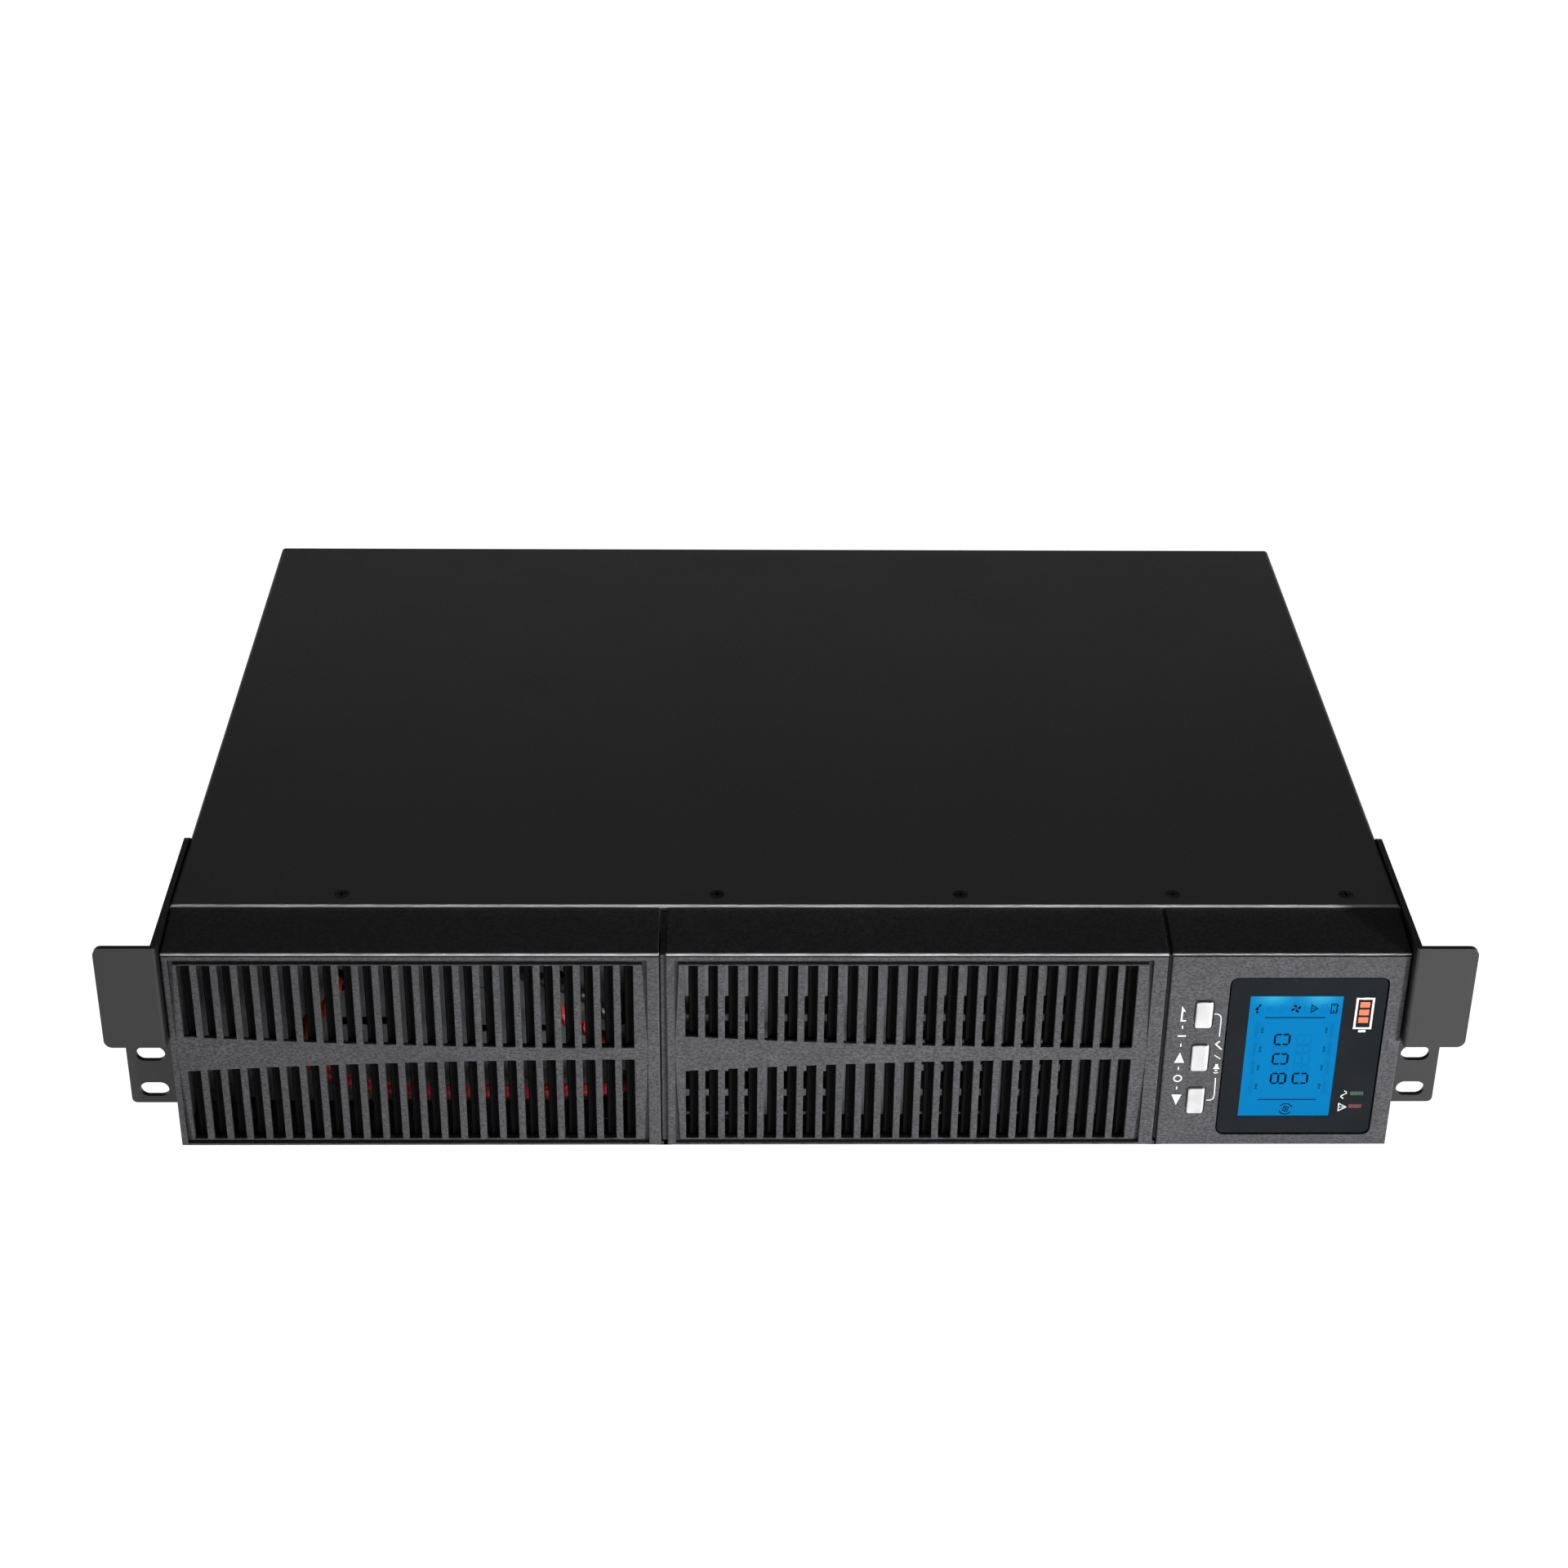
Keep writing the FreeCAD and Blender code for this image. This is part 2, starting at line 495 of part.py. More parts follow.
def groove_tools(x0, x1):
    """A mitred groove round the grille, whose side runs taper out at mid height."""
    w, lean, y, deep = GROOVE_WIDTH, GROOVE_DRAFT, FRONT_Y, FRONT_Y + GROOVE_DEPTH
    faces = [(0, 1, 2, 3), (4, 5, 6, 7)] + [(i, (i + 1) % 4, 4 + (i + 1) % 4, 4 + i) for i in range(4)]
    tools = []
    for outer_z, way in ((GROOVE_TOP, -1), (GROOVE_BOTTOM, 1)):
        def mitre(x, turn):
            """The four corners of the groove's end at x, on the face and on its floor."""
            return [(x + turn * step, depth, outer_z + way * step)
                    for step, depth in ((0, y), (w, y), (w - lean, deep), (lean, deep))]
        left, right = mitre(x0, 1), mitre(x1, -1)
        run = [left[0], right[0], right[1], left[1], left[3], right[3], right[2], left[2]]
        tools.append(polyhedron(run, faces))
        for x, end in ((x0, left), (x1, right)):
            pyramid = end + [(x, y, GRILLE_MID)]
            tools.append(polyhedron(pyramid, [(0, 1, 2, 3), (0, 1, 4), (1, 2, 4), (2, 3, 4), (3, 0, 4)]))
    return tools


def grille_bezel(name, span, first_x, groove_span, tongues=()):
    x0, x1 = span
    shell = merge([bezel_shell(x0, x1), seam_sill(x1), *tongues] + bezel_prongs(x0, x1))
    save(name, cut(shell,
                   grille_slots(first_x) + groove_tools(*groove_span) + [top_line(x0, x1, GRILLE_TOP_LINE)]))


def louvre_insert(name, span, first_x):
    """Black slats behind the fins: they hide the inside apart from a narrow strip in each slot."""
    x0, x1 = span[0] + BEZEL_WALL + 0.3, span[1] - BEZEL_WALL - 0.3
    z0, z1 = 2.8, 81.0
    plate = box(x0, x1, LOUVRE_Y, LOUVRE_Y + LOUVRE_T, z0, z1)
    back = FRONT_Y + BEZEL_WALL
    rim = [box(x0, x1, back, LOUVRE_Y, z0, z0 + 0.6), box(x0, x1, back, LOUVRE_Y, z1 - 1.6, z1),
           box(x0, x0 + 1.6, back, LOUVRE_Y, z0, z1), box(x1 - 1.6, x1, back, LOUVRE_Y, z0, z1)]
    gap = GRILLE_PITCH - (GRILLE_SLOT - LOUVRE_LEAD + LOUVRE_LAP)
    slits = []
    for i in range(GRILLE_COUNT):
        right = first_x + i * GRILLE_PITCH + LOUVRE_LEAD
        for low, high in ((GRILLE_BOTTOM, GRILLE_MID - 1.5), (GRILLE_MID + 1.5, GRILLE_TOP)):
            slits.append(prism_z([(right - gap, LOUVRE_Y - 1), (right + SLAT_BREAK + 1, LOUVRE_Y - 1),
                                  (right, LOUVRE_Y + SLAT_BREAK), (right, LOUVRE_Y + LOUVRE_T + 1),
                                  (right - gap, LOUVRE_Y + LOUVRE_T + 1)], low, high))
    save(name, cut(merge([plate] + rim), slits))


def control_bezel():
    x0, x1 = CONTROL_BEZEL
    tongue = seam_tongue(x0, x0 - MIDDLE_BEZEL[1], 2.0)
    shell = merge([bezel_shell(x0, x1), tongue] + bezel_prongs(x0, x1))
    window = rounded_box(DISPLAY_X[0] - 0.2, DISPLAY_X[1] + 0.2, FRONT_Y - 1, FRONT_Y + BEZEL_WALL + 1,
                         DISPLAY_Z[0] - 0.2, DISPLAY_Z[1] + 0.2, 3.0)
    wide, high = BUTTON_W / 2 + BUTTON_GAP, BUTTON_H / 2 + BUTTON_GAP
    wells = [rounded_box(BUTTON_X - wide, BUTTON_X + wide, FRONT_Y - 1, FRONT_Y + BEZEL_WALL + 1,
                         z - high, z + high, 1.3) for z in BUTTON_Z.values()]
    posts = [rod(2.6, (x, FRONT_Y + BEZEL_WALL, z), Y_DIR, CONTROL_BOARD_Y - FRONT_Y - BEZEL_WALL)
             for x, z in control_post_places()]
    save("control_bezel", cut(merge([shell] + posts), [window, top_line(x0, x1, CONTROL_TOP_LINE)] + wells))


def control_post_places():
    return [(140.5, 8.0), (140.5, 76.0), (213.2, 77.9)]


# ---- display, buttons, control board ------------------------------------------------------
def display_frame():
    face, back = FRONT_Y + 0.4, FRONT_Y + BEZEL_WALL
    front = rounded_box(DISPLAY_X[0], DISPLAY_X[1], face, back, DISPLAY_Z[0], DISPLAY_Z[1], 2.9)
    rims = [e for e in front.Edges if abs(e.CenterOfMass.y - face) < 0.01]
    front = front.makeChamfer(0.45, rims)
    flange = box(DISPLAY_X[0] - 1.0, DISPLAY_X[1] + 1.5, back, back + 1.2, DISPLAY_Z[0] - 1.5,
                 DISPLAY_Z[1] + 1.5)
    window = box(LCD_X[0] - 0.1, LCD_X[1] + 0.1, FRONT_Y - 1, back + 3, LCD_Z[0] - 0.1, LCD_Z[1] + 0.1)
    slots = [box(INDICATOR_X - INDICATOR_W / 2, INDICATOR_X + INDICATOR_W / 2, FRONT_Y - 1, back + 3,
                 z - INDICATOR_H / 2, z + INDICATOR_H / 2) for z in INDICATOR_Z.values()]
    save("display_frame", cut(merge([front, flange]), [window] + slots))
    save("lcd_panel", box(LCD_X[0], LCD_X[1], FRONT_Y + 0.8, FRONT_Y + 3.6, LCD_Z[0], LCD_Z[1]))
    save("backlight_box",
         box(LCD_X[0] - 2, LCD_X[1] + 2, FRONT_Y + 3.6, CONTROL_BOARD_Y, LCD_Z[0] - 2, LCD_Z[1] + 2))
    for name, z in INDICATOR_Z.items():
        lens = box(INDICATOR_X - INDICATOR_W / 2 + 0.1, INDICATOR_X + INDICATOR_W / 2 - 0.1, FRONT_Y + 0.5,
                   CONTROL_BOARD_Y, z - INDICATOR_H / 2 + 0.1, z + INDICATOR_H / 2 - 0.1)
        save(name, lens)


def buttons():
    for name, z in BUTTON_Z.items():
        face = FRONT_Y - BUTTON_PROUD
        cap = rounded_box(BUTTON_X - BUTTON_W / 2, BUTTON_X + BUTTON_W / 2, face,
                          FRONT_Y + BEZEL_WALL + CLEAR,
                          z - BUTTON_H / 2, z + BUTTON_H / 2, 0.9)
        rim = [e for e in cap.Edges if abs(e.CenterOfMass.y - face) < 0.01]
        right, run = BUTTON_X + BUTTON_W / 2, BUTTON_BEVEL + 0.1
        slope = prism_z([(right - run, face - 0.05), (right + 0.1, face - 0.05),
                         (right + 0.1, face + run / 2)],
                        z - BUTTON_H, z + BUTTON_H)
        cap = cut(cap.makeFillet(0.3, rim), [slope])
        back = FRONT_Y + BEZEL_WALL + CLEAR
        flange = box(BUTTON_X - BUTTON_W / 2 - 1.3, BUTTON_X + BUTTON_W / 2 + 1.3, back, back + 1.2,
                     z - BUTTON_H / 2 - 1.3, z + BUTTON_H / 2 + 1.3)
        stem = rod(1.6, (BUTTON_X, back + 1.2, z), Y_DIR,
                   CONTROL_BOARD_Y - 5.0 - CLEAR - BUTTON_TRAVEL - back - 1.2)
        save(name, merge([cap, flange, stem]))


def control_board():
    board = box(138.0, 215.4, CONTROL_BOARD_Y, CONTROL_BOARD_Y + BOARD_T, 4.5, 80.5)
    save("control_board", board)
    parts = []
    for z in BUTTON_Z.values():
        body = box(BUTTON_X - 3, BUTTON_X + 3, CONTROL_BOARD_Y - 3.5, CONTROL_BOARD_Y, z - 3, z + 3)
        parts.append(merge([body, rod(1.7, (BUTTON_X, CONTROL_BOARD_Y - 5.0, z), Y_DIR, 1.5)]))
    chip = box(185.0, 195.0, CONTROL_BOARD_Y + BOARD_T, CONTROL_BOARD_Y + BOARD_T + 1.6, 48.0, 58.0)
    header = box(164.0, 190.0, CONTROL_BOARD_Y + BOARD_T, CONTROL_BOARD_Y + BOARD_T + 5.0, 30.0, 36.0)
    save("control_board_parts", *parts, chip, header)


def ribbon_cable():
    y0, z0, t = CONTROL_BOARD_Y + BOARD_T + 5.0, 33.0, 0.9
    y1, z1 = MAIN_BOARD_Y[0] + 8.0, MAIN_BOARD_Z + BOARD_T
    path = [(y0, z0), (y0 + 22.0, z0), (y1, z1 + 12.0), (y1, z1)]
    back = [(y1 + t, z1), (y1 + t, z1 + 12.4), (y0 + 22.3, z0 + t), (y0, z0 + t)]
    save("ribbon_cable", prism_x(path + back, 166.0, 188.0))


# ---- battery tray -------------------------------------------------------------------------
def tray_screw_places():
    return [(TRAY_PLATE_X[1] - 3.0, z) for z in (12.0, 72.0)]


def battery_tray():
    x0, x1 = TRAY_X
    floor = box(x0, x1, TRAY_PLATE_Y + SHEET, TRAY_REAR_Y, TRAY_Z, TRAY_Z + TRAY_SHEET)
    sides = [box(x, x + TRAY_SHEET, TRAY_PLATE_Y + SHEET, TRAY_REAR_Y, TRAY_Z, 34.0)
             for x in (x0, x1 - TRAY_SHEET)]
    rear = box(x0, x1, TRAY_REAR_Y - TRAY_SHEET, TRAY_REAR_Y, TRAY_Z, 34.0)
    plate = box(*TRAY_PLATE_X, TRAY_PLATE_Y, TRAY_PLATE_Y + SHEET, *TRAY_PLATE_Z)
    holes = [rod(LEAD_R + 1.2, (x, TRAY_PLATE_Y - 1, z), Y_DIR, SHEET + 2) for x, z in LEAD_HOLES]
    eye_x, eye_z, eye_r = TRAY_EYE
    holes.append(rod(eye_r, (eye_x, TRAY_PLATE_Y - 1, eye_z), Y_DIR, SHEET + 2))
    holes += [rod(2.2, (x, TRAY_PLATE_Y - 1, z), Y_DIR, SHEET + 2) for x, z in tray_screw_places()]
    holes.append(slot_y(*TRAY_SLOT, TRAY_PLATE_Y - 1, TRAY_PLATE_Y + SHEET + 1))
    holes += [rod(TIE_HOLE_R, (x, TRAY_PLATE_Y - 1, z), Y_DIR, SHEET + 2) for x, z in TRAY_TIE_HOLES]
    holes.append(box(PLUG_X[0] - 1.3, 0, TRAY_PLATE_Y - 1, TRAY_PLATE_Y + SHEET + 1, PLUG_Z[0] - 1.5,
                     PLUG_Z[1] + 1.5))
    save("battery_tray", cut(merge([floor, rear, plate] + sides), holes))


def batteries():
    wide, deep, high = BATTERY
    x0 = (TRAY_X[0] + TRAY_X[1] - wide) / 2
    z0 = TRAY_Z + TRAY_SHEET
    cells, tabs = [], []
    for y0 in BATTERY_FRONT_Y:
        case = rounded_box(x0, x0 + wide, y0 + 14.0, y0 + deep, z0, z0 + high, 1.5)
        lid = rounded_box(x0, x0 + wide, y0, y0 + 13.4, z0, z0 + high, 2.5)
        neck = box(x0 + 1, x0 + wide - 1, y0 + 13.4, y0 + 14.0, z0 + 1, z0 + high - 1)
        wells = [box(x - 5, x + 5, y0 - 1, y0 + 2.0, TERMINAL_Z - 5, TERMINAL_Z + 5) for x in TERMINAL_X]
        cells.append(cut(merge([case, neck, lid]), wells))
        tabs += [box(x - 3.1, x + 3.1, y0 - TERMINAL_LENGTH, y0 + 2.0, TERMINAL_Z - 0.4, TERMINAL_Z + 0.4)
                 for x in TERMINAL_X]
    save("batteries", *cells)
    save("battery_terminals", *tabs)


def lead_routes():
    """Corner points of the battery leads; they turn with arcs as large as the space leaves."""
    inner, rear = (y0 - TERMINAL_LENGTH for y0 in BATTERY_FRONT_Y)
    y, plug_y = LEAD_Y, PLUG_FRONT_Y + 7.0
    return {
        "lead_positive": [(-162, inner, 57), (-162, y + 2, 57), (-165, y, 51.5), (-171.5, y, 47.5),
                          (-174.5, y, 38),
                          (-173, y, 28.5), (-166.5, y, 23), (-157, y, 19), (-144, y, 16.0), (-122, y, 14.8),
                          (-92, y, 15.0), (-67, y, 16.2), (-54, plug_y, 19.0), (-53.8, plug_y, PLUG_Z[0])],
        "lead_link": [(-84, inner, 57), (-84, y + 1, 57), (-82, y, 48.5), (-73.5, y, 43.3),
                      (-66, plug_y, 39.2),
                      (PLUG_X[0], plug_y, 36.5)],
        "lead_negative": [(-162, rear, 57), (-162, rear - 7, 57), (-161.6, rear - 7, 67.5),
                          (-161, rear - 7, 76.6),
                          (-158, -37, 76.8), (-150, -55, 76.8), (-128, -84, 76.6), (-101, -108, 76.8),
                          (-98, -129.0, 76.7), (-98, -129.0, 66),
                          (-98, y + 2, 66), (-88, y + 1, 64), (-73, plug_y + 1, 58), (-65, plug_y + 1, 49),
                          (PLUG_X[0], plug_y + 1, 46.5)],
    }


def battery_leads():
    tubes = {name: [lead_tube(points, LEAD_R)] for name, points in lead_routes().items()}
    tubes["lead_link"].append(battery_jumper())
    for name, solids in tubes.items():
        save(name, *solids)
    rings = []
    for x, z in LEAD_HOLES:
        body = rod(LEAD_R + 1.2, (x, TRAY_PLATE_Y - 1.0, z), Y_DIR, SHEET + 2.0)
        lips = [rod(LEAD_R + 2.2, (x, y, z), Y_DIR, 1.0) for y in (TRAY_PLATE_Y - 1.0, TRAY_PLATE_Y + SHEET)]
        rings.append(cut(merge([body] + lips), [rod(LEAD_R, (x, TRAY_PLATE_Y - 3, z), Y_DIR, SHEET + 6)]))
    save("lead_grommets", *rings)


def battery_jumper():
    """The link between the two batteries' terminals, over the top of the front battery."""
    front, rear = (y0 - 2.5 for y0 in BATTERY_FRONT_Y)
    x, z = TERMINAL_X[1] + 4.7, 75.4
    points = [(x, front, TERMINAL_Z), (x + 0.3, front - 0.2, 70.5), (x, front, z + 0.6),
              (x - 0.3, front + 6, z + 0.4),
              (x - 0.7, -100, z + 0.4), (x + 0.8, -70, z),
              (x - 0.2, -42, z + 0.2), (x, rear, z), (x, rear, TERMINAL_Z)]
    return lead_tube(points, 1.6)


def battery_connector():
    x0, x1 = PLUG_X
    z0, z1 = PLUG_Z
    shoulder = SOCKET_FRONT_Y - CLEAR
    grip = rounded_box(x0, x1, PLUG_FRONT_Y, shoulder, z0, z1, 1.0)
    nose = box(x0 + 2.2, x1 - 2.2, shoulder, shoulder + 5.0, z0 + 2.4, z1 - 2.4)
    save("battery_plug", merge([grip, nose]))
    body = box(x0 + 0.5, x1 - 0.5, SOCKET_FRONT_Y, PLATE_BACK + 6.0, z0 + 0.5, z1 - 0.5)
    flange = box(x0 - 0.2, x1 + 0.2, PLATE_Y - 1.0, PLATE_Y, z0 - 0.2, z1 + 0.2)
    cavity = box(x0 + 1.8, x1 - 1.8, SOCKET_FRONT_Y - 1, SOCKET_FRONT_Y + 5.4, z0 + 2.0, z1 - 2.0)
    save("battery_socket", cut(merge([body, flange]), [cavity]))


def tray_screws():
    screws = []
    for x, z in tray_screw_places():
        head = rod(2.9, (x, TRAY_PLATE_Y - 5.0, z), Y_DIR, 5.0)
        flutes = [rod(0.35, (x + 2.9 * math.cos(a), TRAY_PLATE_Y - 6, z + 2.9 * math.sin(a)), Y_DIR, 5.2)
                  for a in [math.tau * i / 18 for i in range(18)]]
        slot = box(x - 4, x + 4, TRAY_PLATE_Y - 6, TRAY_PLATE_Y - 3.8, z - 0.4, z + 0.4)
        shank = rod(1.5, (x, TRAY_PLATE_Y, z), Y_DIR, 8.0)
        screws.append(merge([cut(head, flutes + [slot]), shank]))
    save("tray_screws", *screws)


# ---- transformer and main board -----------------------------------------------------------
def transformer():
    x0, x1 = CORE_X
    z0, z1 = CORE_Z
    limb = (x1 - x0) / 6
    window_z = (z0 + limb, z1 - limb)
    core = box(x0, x1, CORE_Y[0], CORE_Y[1], z0, z1)
    windows = [box(a, a + limb, CORE_Y[0] - 1, CORE_Y[1] + 1, *window_z) for a in (x0 + limb, x0 + 4 * limb)]
    save("transformer_core", cut(core, windows))
    gap = 0.3
    coil = rounded_box(x0 + limb + gap, x1 - limb - gap, CORE_Y[0] - limb + 2, CORE_Y[1] + limb - 2,
                       window_z[0] + gap, window_z[1] - gap, 6.0, "z")
    leg = box(x0 + 2 * limb - gap, x1 - 2 * limb + gap, CORE_Y[0] - gap, CORE_Y[1] + gap, z0, z1)
    save("transformer_coil", cut(coil, [leg]))
    mid = (CORE_Y[0] + CORE_Y[1]) / 2
    feet = []
    for x, way in ((x0, -1), (x1, 1)):
        low = box(min(x, x + 8 * way), max(x, x + 8 * way), mid - 10, mid + 10, SHEET, SHEET + 2.0)
        up = box(min(x, x + 1.6 * way), max(x, x + 1.6 * way), mid - 10, mid + 10, SHEET + 2.0, 60.0)
        feet.append(merge([low, up]))
    pad = box(x0, x1, mid - 10, mid + 10, SHEET, z0)
    save("transformer_bracket", merge(feet + [pad]))


def main_board():
    x0, x1 = MAIN_BOARD_X
    y0, y1 = MAIN_BOARD_Y
    spots = [(x, y) for x in (x0 + 6, x1 - 6) for y in (y0 + 6, (y0 + y1) / 2, y1 - 6)]
    holes = [rod(1.7, (x, y, 0), Z_DIR, 20) for x, y in spots]
    save("main_board", cut(box(x0, x1, y0, y1, MAIN_BOARD_Z, MAIN_BOARD_Z + BOARD_T), holes))
    posts = []
    for x, y in spots:
        post = rod(3.0, (x, y, SHEET), Z_DIR, MAIN_BOARD_Z - SHEET)
        pin = rod(1.5, (x, y, MAIN_BOARD_Z), Z_DIR, BOARD_T + 1.2)
        posts.append(merge([post, pin]))
    save("board_standoffs", *posts)


def heat_sinks():
    """Two finned sinks; the transistors clamped to them are returned for the switching node."""
    base = MAIN_BOARD_Z + BOARD_T
    sinks, transistors = [], []
    for x in (104.0, 150.0):
        y0, y1 = -70.0, 20.0
        spine = box(x, x + 3.0, y0, y1, base, base + 42.0)
        fins = [box(x + 3.0, x + 17.0, y0, y1, base + 4.0 + 6.0 * i, base + 5.2 + 6.0 * i) for i in range(7)]
        sinks.append(merge([spine] + fins))
        transistors += [box(x - 4.5, x, y0 + 6 + 17 * i, y0 + 16 + 17 * i, base + 3, base + 19)
                        for i in range(5)]
    save("heat_sinks", *sinks)
    return transistors


def board_parts(transistors):
    base = MAIN_BOARD_Z + BOARD_T
    cans = []
    for x, y, r, h in [(98, 60, 9, 36), (120, 60, 9, 36), (142, 60, 9, 36), (200, -20, 6, 26),
                       (200, 0, 6, 26)]:
        can = rod(r, (x, y, base), Z_DIR, h)
        can = can.makeFillet(1.0, [e for e in can.Edges if e.Closed and e.CenterOfMass.z > base + h / 2])
        cans.append(can)
    save("capacitors", *cans)
    relays = [rounded_box(186, 202, y, y + 29, base, base + 21, 0.8, "z") for y in (24.0, 56.0)]
    relays.append(rounded_box(160, 176, 40, 69, base, base + 21, 0.8, "z"))
    save("switching_parts", *relays, *transistors)
    save("filter_choke", Part.makeTorus(13.0, 5.5, V(187.0, -78.0, base + 5.5), Z_DIR))


# ---- fan ----------------------------------------------------------------------------------
def fan_corner_places():
    half = FAN_HOLE_SPAN / 2
    return [(FAN_X + sx * half, FAN_Z + sz * half) for sx in (-1, 1) for sz in (-1, 1)]


def fan_frame():
    half, y0, y1 = FAN_SIZE / 2, REAR_IN - FAN_DEPTH, REAR_IN
    block = rounded_box(FAN_X - half, FAN_X + half, y0, y1, FAN_Z - half, FAN_Z + half, 4.0)
    bore = rod(FAN_BORE_R, (FAN_X, y0 - 1, FAN_Z), Y_DIR, FAN_DEPTH + 2)
    waist = cut(box(FAN_X - half - 1, FAN_X + half + 1, y0 + 4, y1 - 4, FAN_Z - half - 1, FAN_Z + half + 1),
                [rod(FAN_BORE_R + 1.6, (FAN_X, y0 - 1, FAN_Z), Y_DIR, FAN_DEPTH + 2)])
    posts = [rod(4.0, (x, y0 + 4, z), Y_DIR, FAN_DEPTH - 8) for x, z in fan_corner_places()]
    holes = [rod(2.1, (x, y0 - 1, z), Y_DIR, FAN_DEPTH + 2) for x, z in fan_corner_places()]
    shell = merge([cut(block, [bore, waist])] + posts)
    hub = rod(14.0, (FAN_X, y0, FAN_Z), Y_DIR, 4.0)
    bush = rod(3.6, (FAN_X, y0 + 4.0, FAN_Z), Y_DIR, 8.0)
    arms = []
    for i in range(4):
        arm = box(FAN_X + 12.0, FAN_X + FAN_BORE_R + 0.8, y0, y0 + 3.0, FAN_Z - 1.6, FAN_Z + 1.6)
        arm.rotate(V(FAN_X, 0, FAN_Z), Y_DIR, 45 + 90 * i)
        arms.append(arm)
    socket = rod(SHAFT_R + 0.05, (FAN_X, y0 + 1.0, FAN_Z), Y_DIR, 12.0)
    save("fan_frame", cut(merge([cut(shell, holes), hub, bush] + arms), [socket]))


def fan_rotor():
    y0, y1 = REAR_IN - FAN_DEPTH + 4.5, REAR_IN - 1.2
    cup = rod(ROTOR_HUB_R, (FAN_X, y0, FAN_Z), Y_DIR, y1 - y0)
    cup = cup.makeFillet(1.2, [e for e in cup.Edges if e.Closed and e.CenterOfMass.y > y1 - 1])
    hollow = rod(ROTOR_HUB_R - 1.8, (FAN_X, y0 - 1, FAN_Z), Y_DIR, y1 - y0 - 1.0)
    shaft = rod(SHAFT_R, (FAN_X, y0 - 2.5, FAN_Z), Y_DIR, y1 - y0 + 1.5)
    disc = cut(rod(ROTOR_TIP_R, (FAN_X, y0, FAN_Z), Y_DIR, y1 - y0),
               [rod(ROTOR_HUB_R - 0.4, (FAN_X, y0 - 1, FAN_Z), Y_DIR, y1 - y0 + 2)])
    blades = []
    for i in range(ROTOR_BLADES):
        blade = box(-0.9, 0.9, -16.0, 16.0, ROTOR_HUB_R - 1.0, ROTOR_TIP_R + 2.0)
        blade.rotate(V(0, 0, 0), Z_DIR, 48)
        blade.translate(V(FAN_X, (y0 + y1) / 2, FAN_Z))
        blade = blade.common(disc)
        blade.rotate(V(FAN_X, 0, FAN_Z), Y_DIR, 360.0 * i / ROTOR_BLADES)
        blades.append(blade)
    save("fan_rotor", merge([cut(cup, [hollow]), shaft] + blades))


def fan_guard():
    y, wire = REAR_Y + PROUD - 1.0, 1.0
    rings = [Part.makeTorus(r, wire, V(FAN_X, y, FAN_Z), Y_DIR) for r in (12.0, 20.5, 29.0, 37.5)]
    spokes = []
    for x, z in fan_corner_places():
        reach = V(x - FAN_X, 0, z - FAN_Z)
        length = reach.Length
        reach.normalize()
        start = V(FAN_X, y - 1.2, FAN_Z) + reach * 11.0
        spokes.append(Part.makeCylinder(wire, length - 11.0 - 3.6, start, reach))
        eye = cut(rod(4.6, (x, REAR_Y, z), Y_DIR, 3.0), [rod(2.05, (x, REAR_Y - 1, z), Y_DIR, 5)])
        spokes.append(eye)
    save("fan_guard", merge(rings + spokes))
    save("fan_screws", *[pan_screw((x, REAR_Y + 3.0, z), Y_DIR, 3.4, 1.0, 1.95, 12.0)
                         for x, z in fan_corner_places()])


# ---- rear panel ---------------------------------------------------------------------------
def iec_outline(cx, cz, width, height, chamfer):
    """The mains connector outline: a rectangle with its two upper corners cut off."""
    w, h = width / 2, height / 2
    return [(cx - w, cz - h), (cx + w, cz - h), (cx + w, cz + h - chamfer), (cx + w - chamfer, cz + h),
            (cx - w + chamfer, cz + h), (cx - w, cz + h - chamfer)]


def rear_screw_places():
    return [(x, z) for x in (-212.0, -20.0, 212.0) for z in (6.0, 80.5)]


def rear_panel():
    plate = box(-INNER_W, INNER_W, REAR_IN, REAR_Y, 0, INNER_TOP - 0.1)
    lip = box(-INNER_W, INNER_W, REAR_IN - 8.0, REAR_IN, INNER_TOP - 0.1 - SHEET, INNER_TOP - 0.1)
    y0, y1 = REAR_IN - 1, REAR_Y + 1
    holes = [rod(FAN_BORE_R, (FAN_X, y0, FAN_Z), Y_DIR, y1 - y0)]
    holes += [rod(2.0, (x, y0, z), Y_DIR, y1 - y0) for x, z in fan_corner_places()]
    holes.append(prism_y(iec_outline(INLET_X, INLET_Z, 27.4, 19.8, 4.0), y0, y1))
    holes += [box(x - 15.8, x + 15.8, y0, y1, z - 11.6, z + 11.6) for x in OUTLET_X for z in OUTLET_Z]
    holes.append(rod(6.0, (BREAKER_X, y0, BREAKER_Z), Y_DIR, y1 - y0))
    holes.append(box(DATA_X - 15.2, DATA_X + 15.2, y0, y1, JACK_Z - 6.6, JACK_Z + 6.6))
    holes.append(box(DATA_X - 6.1, DATA_X + 6.1, y0, y1, USB_Z - 5.6, USB_Z + 5.6))
    holes.append(box(DATA_X - 6.2, DATA_X + 6.2, y0, y1, EPO_Z - 4.8, EPO_Z + 4.8))
    holes.append(box(SERIAL_X - 10.0, SERIAL_X + 10.0, y0, y1, SERIAL_Z - 5.6, SERIAL_Z + 5.6))
    holes.append(box(OPTION_X[0] + 9, OPTION_X[1] - 9, y0, y1, OPTION_Z[0] + 3, OPTION_Z[1] - 3))
    holes += [rod(1.5, (x, y0, z), Y_DIR, y1 - y0) for x, z in option_screw_places() + rear_screw_places()]
    holes.append(rod(1.95, (EARTH_X, y0, EARTH_Z), Y_DIR, y1 - y0))
    save("rear_panel", cut(merge([plate, lip]), holes))


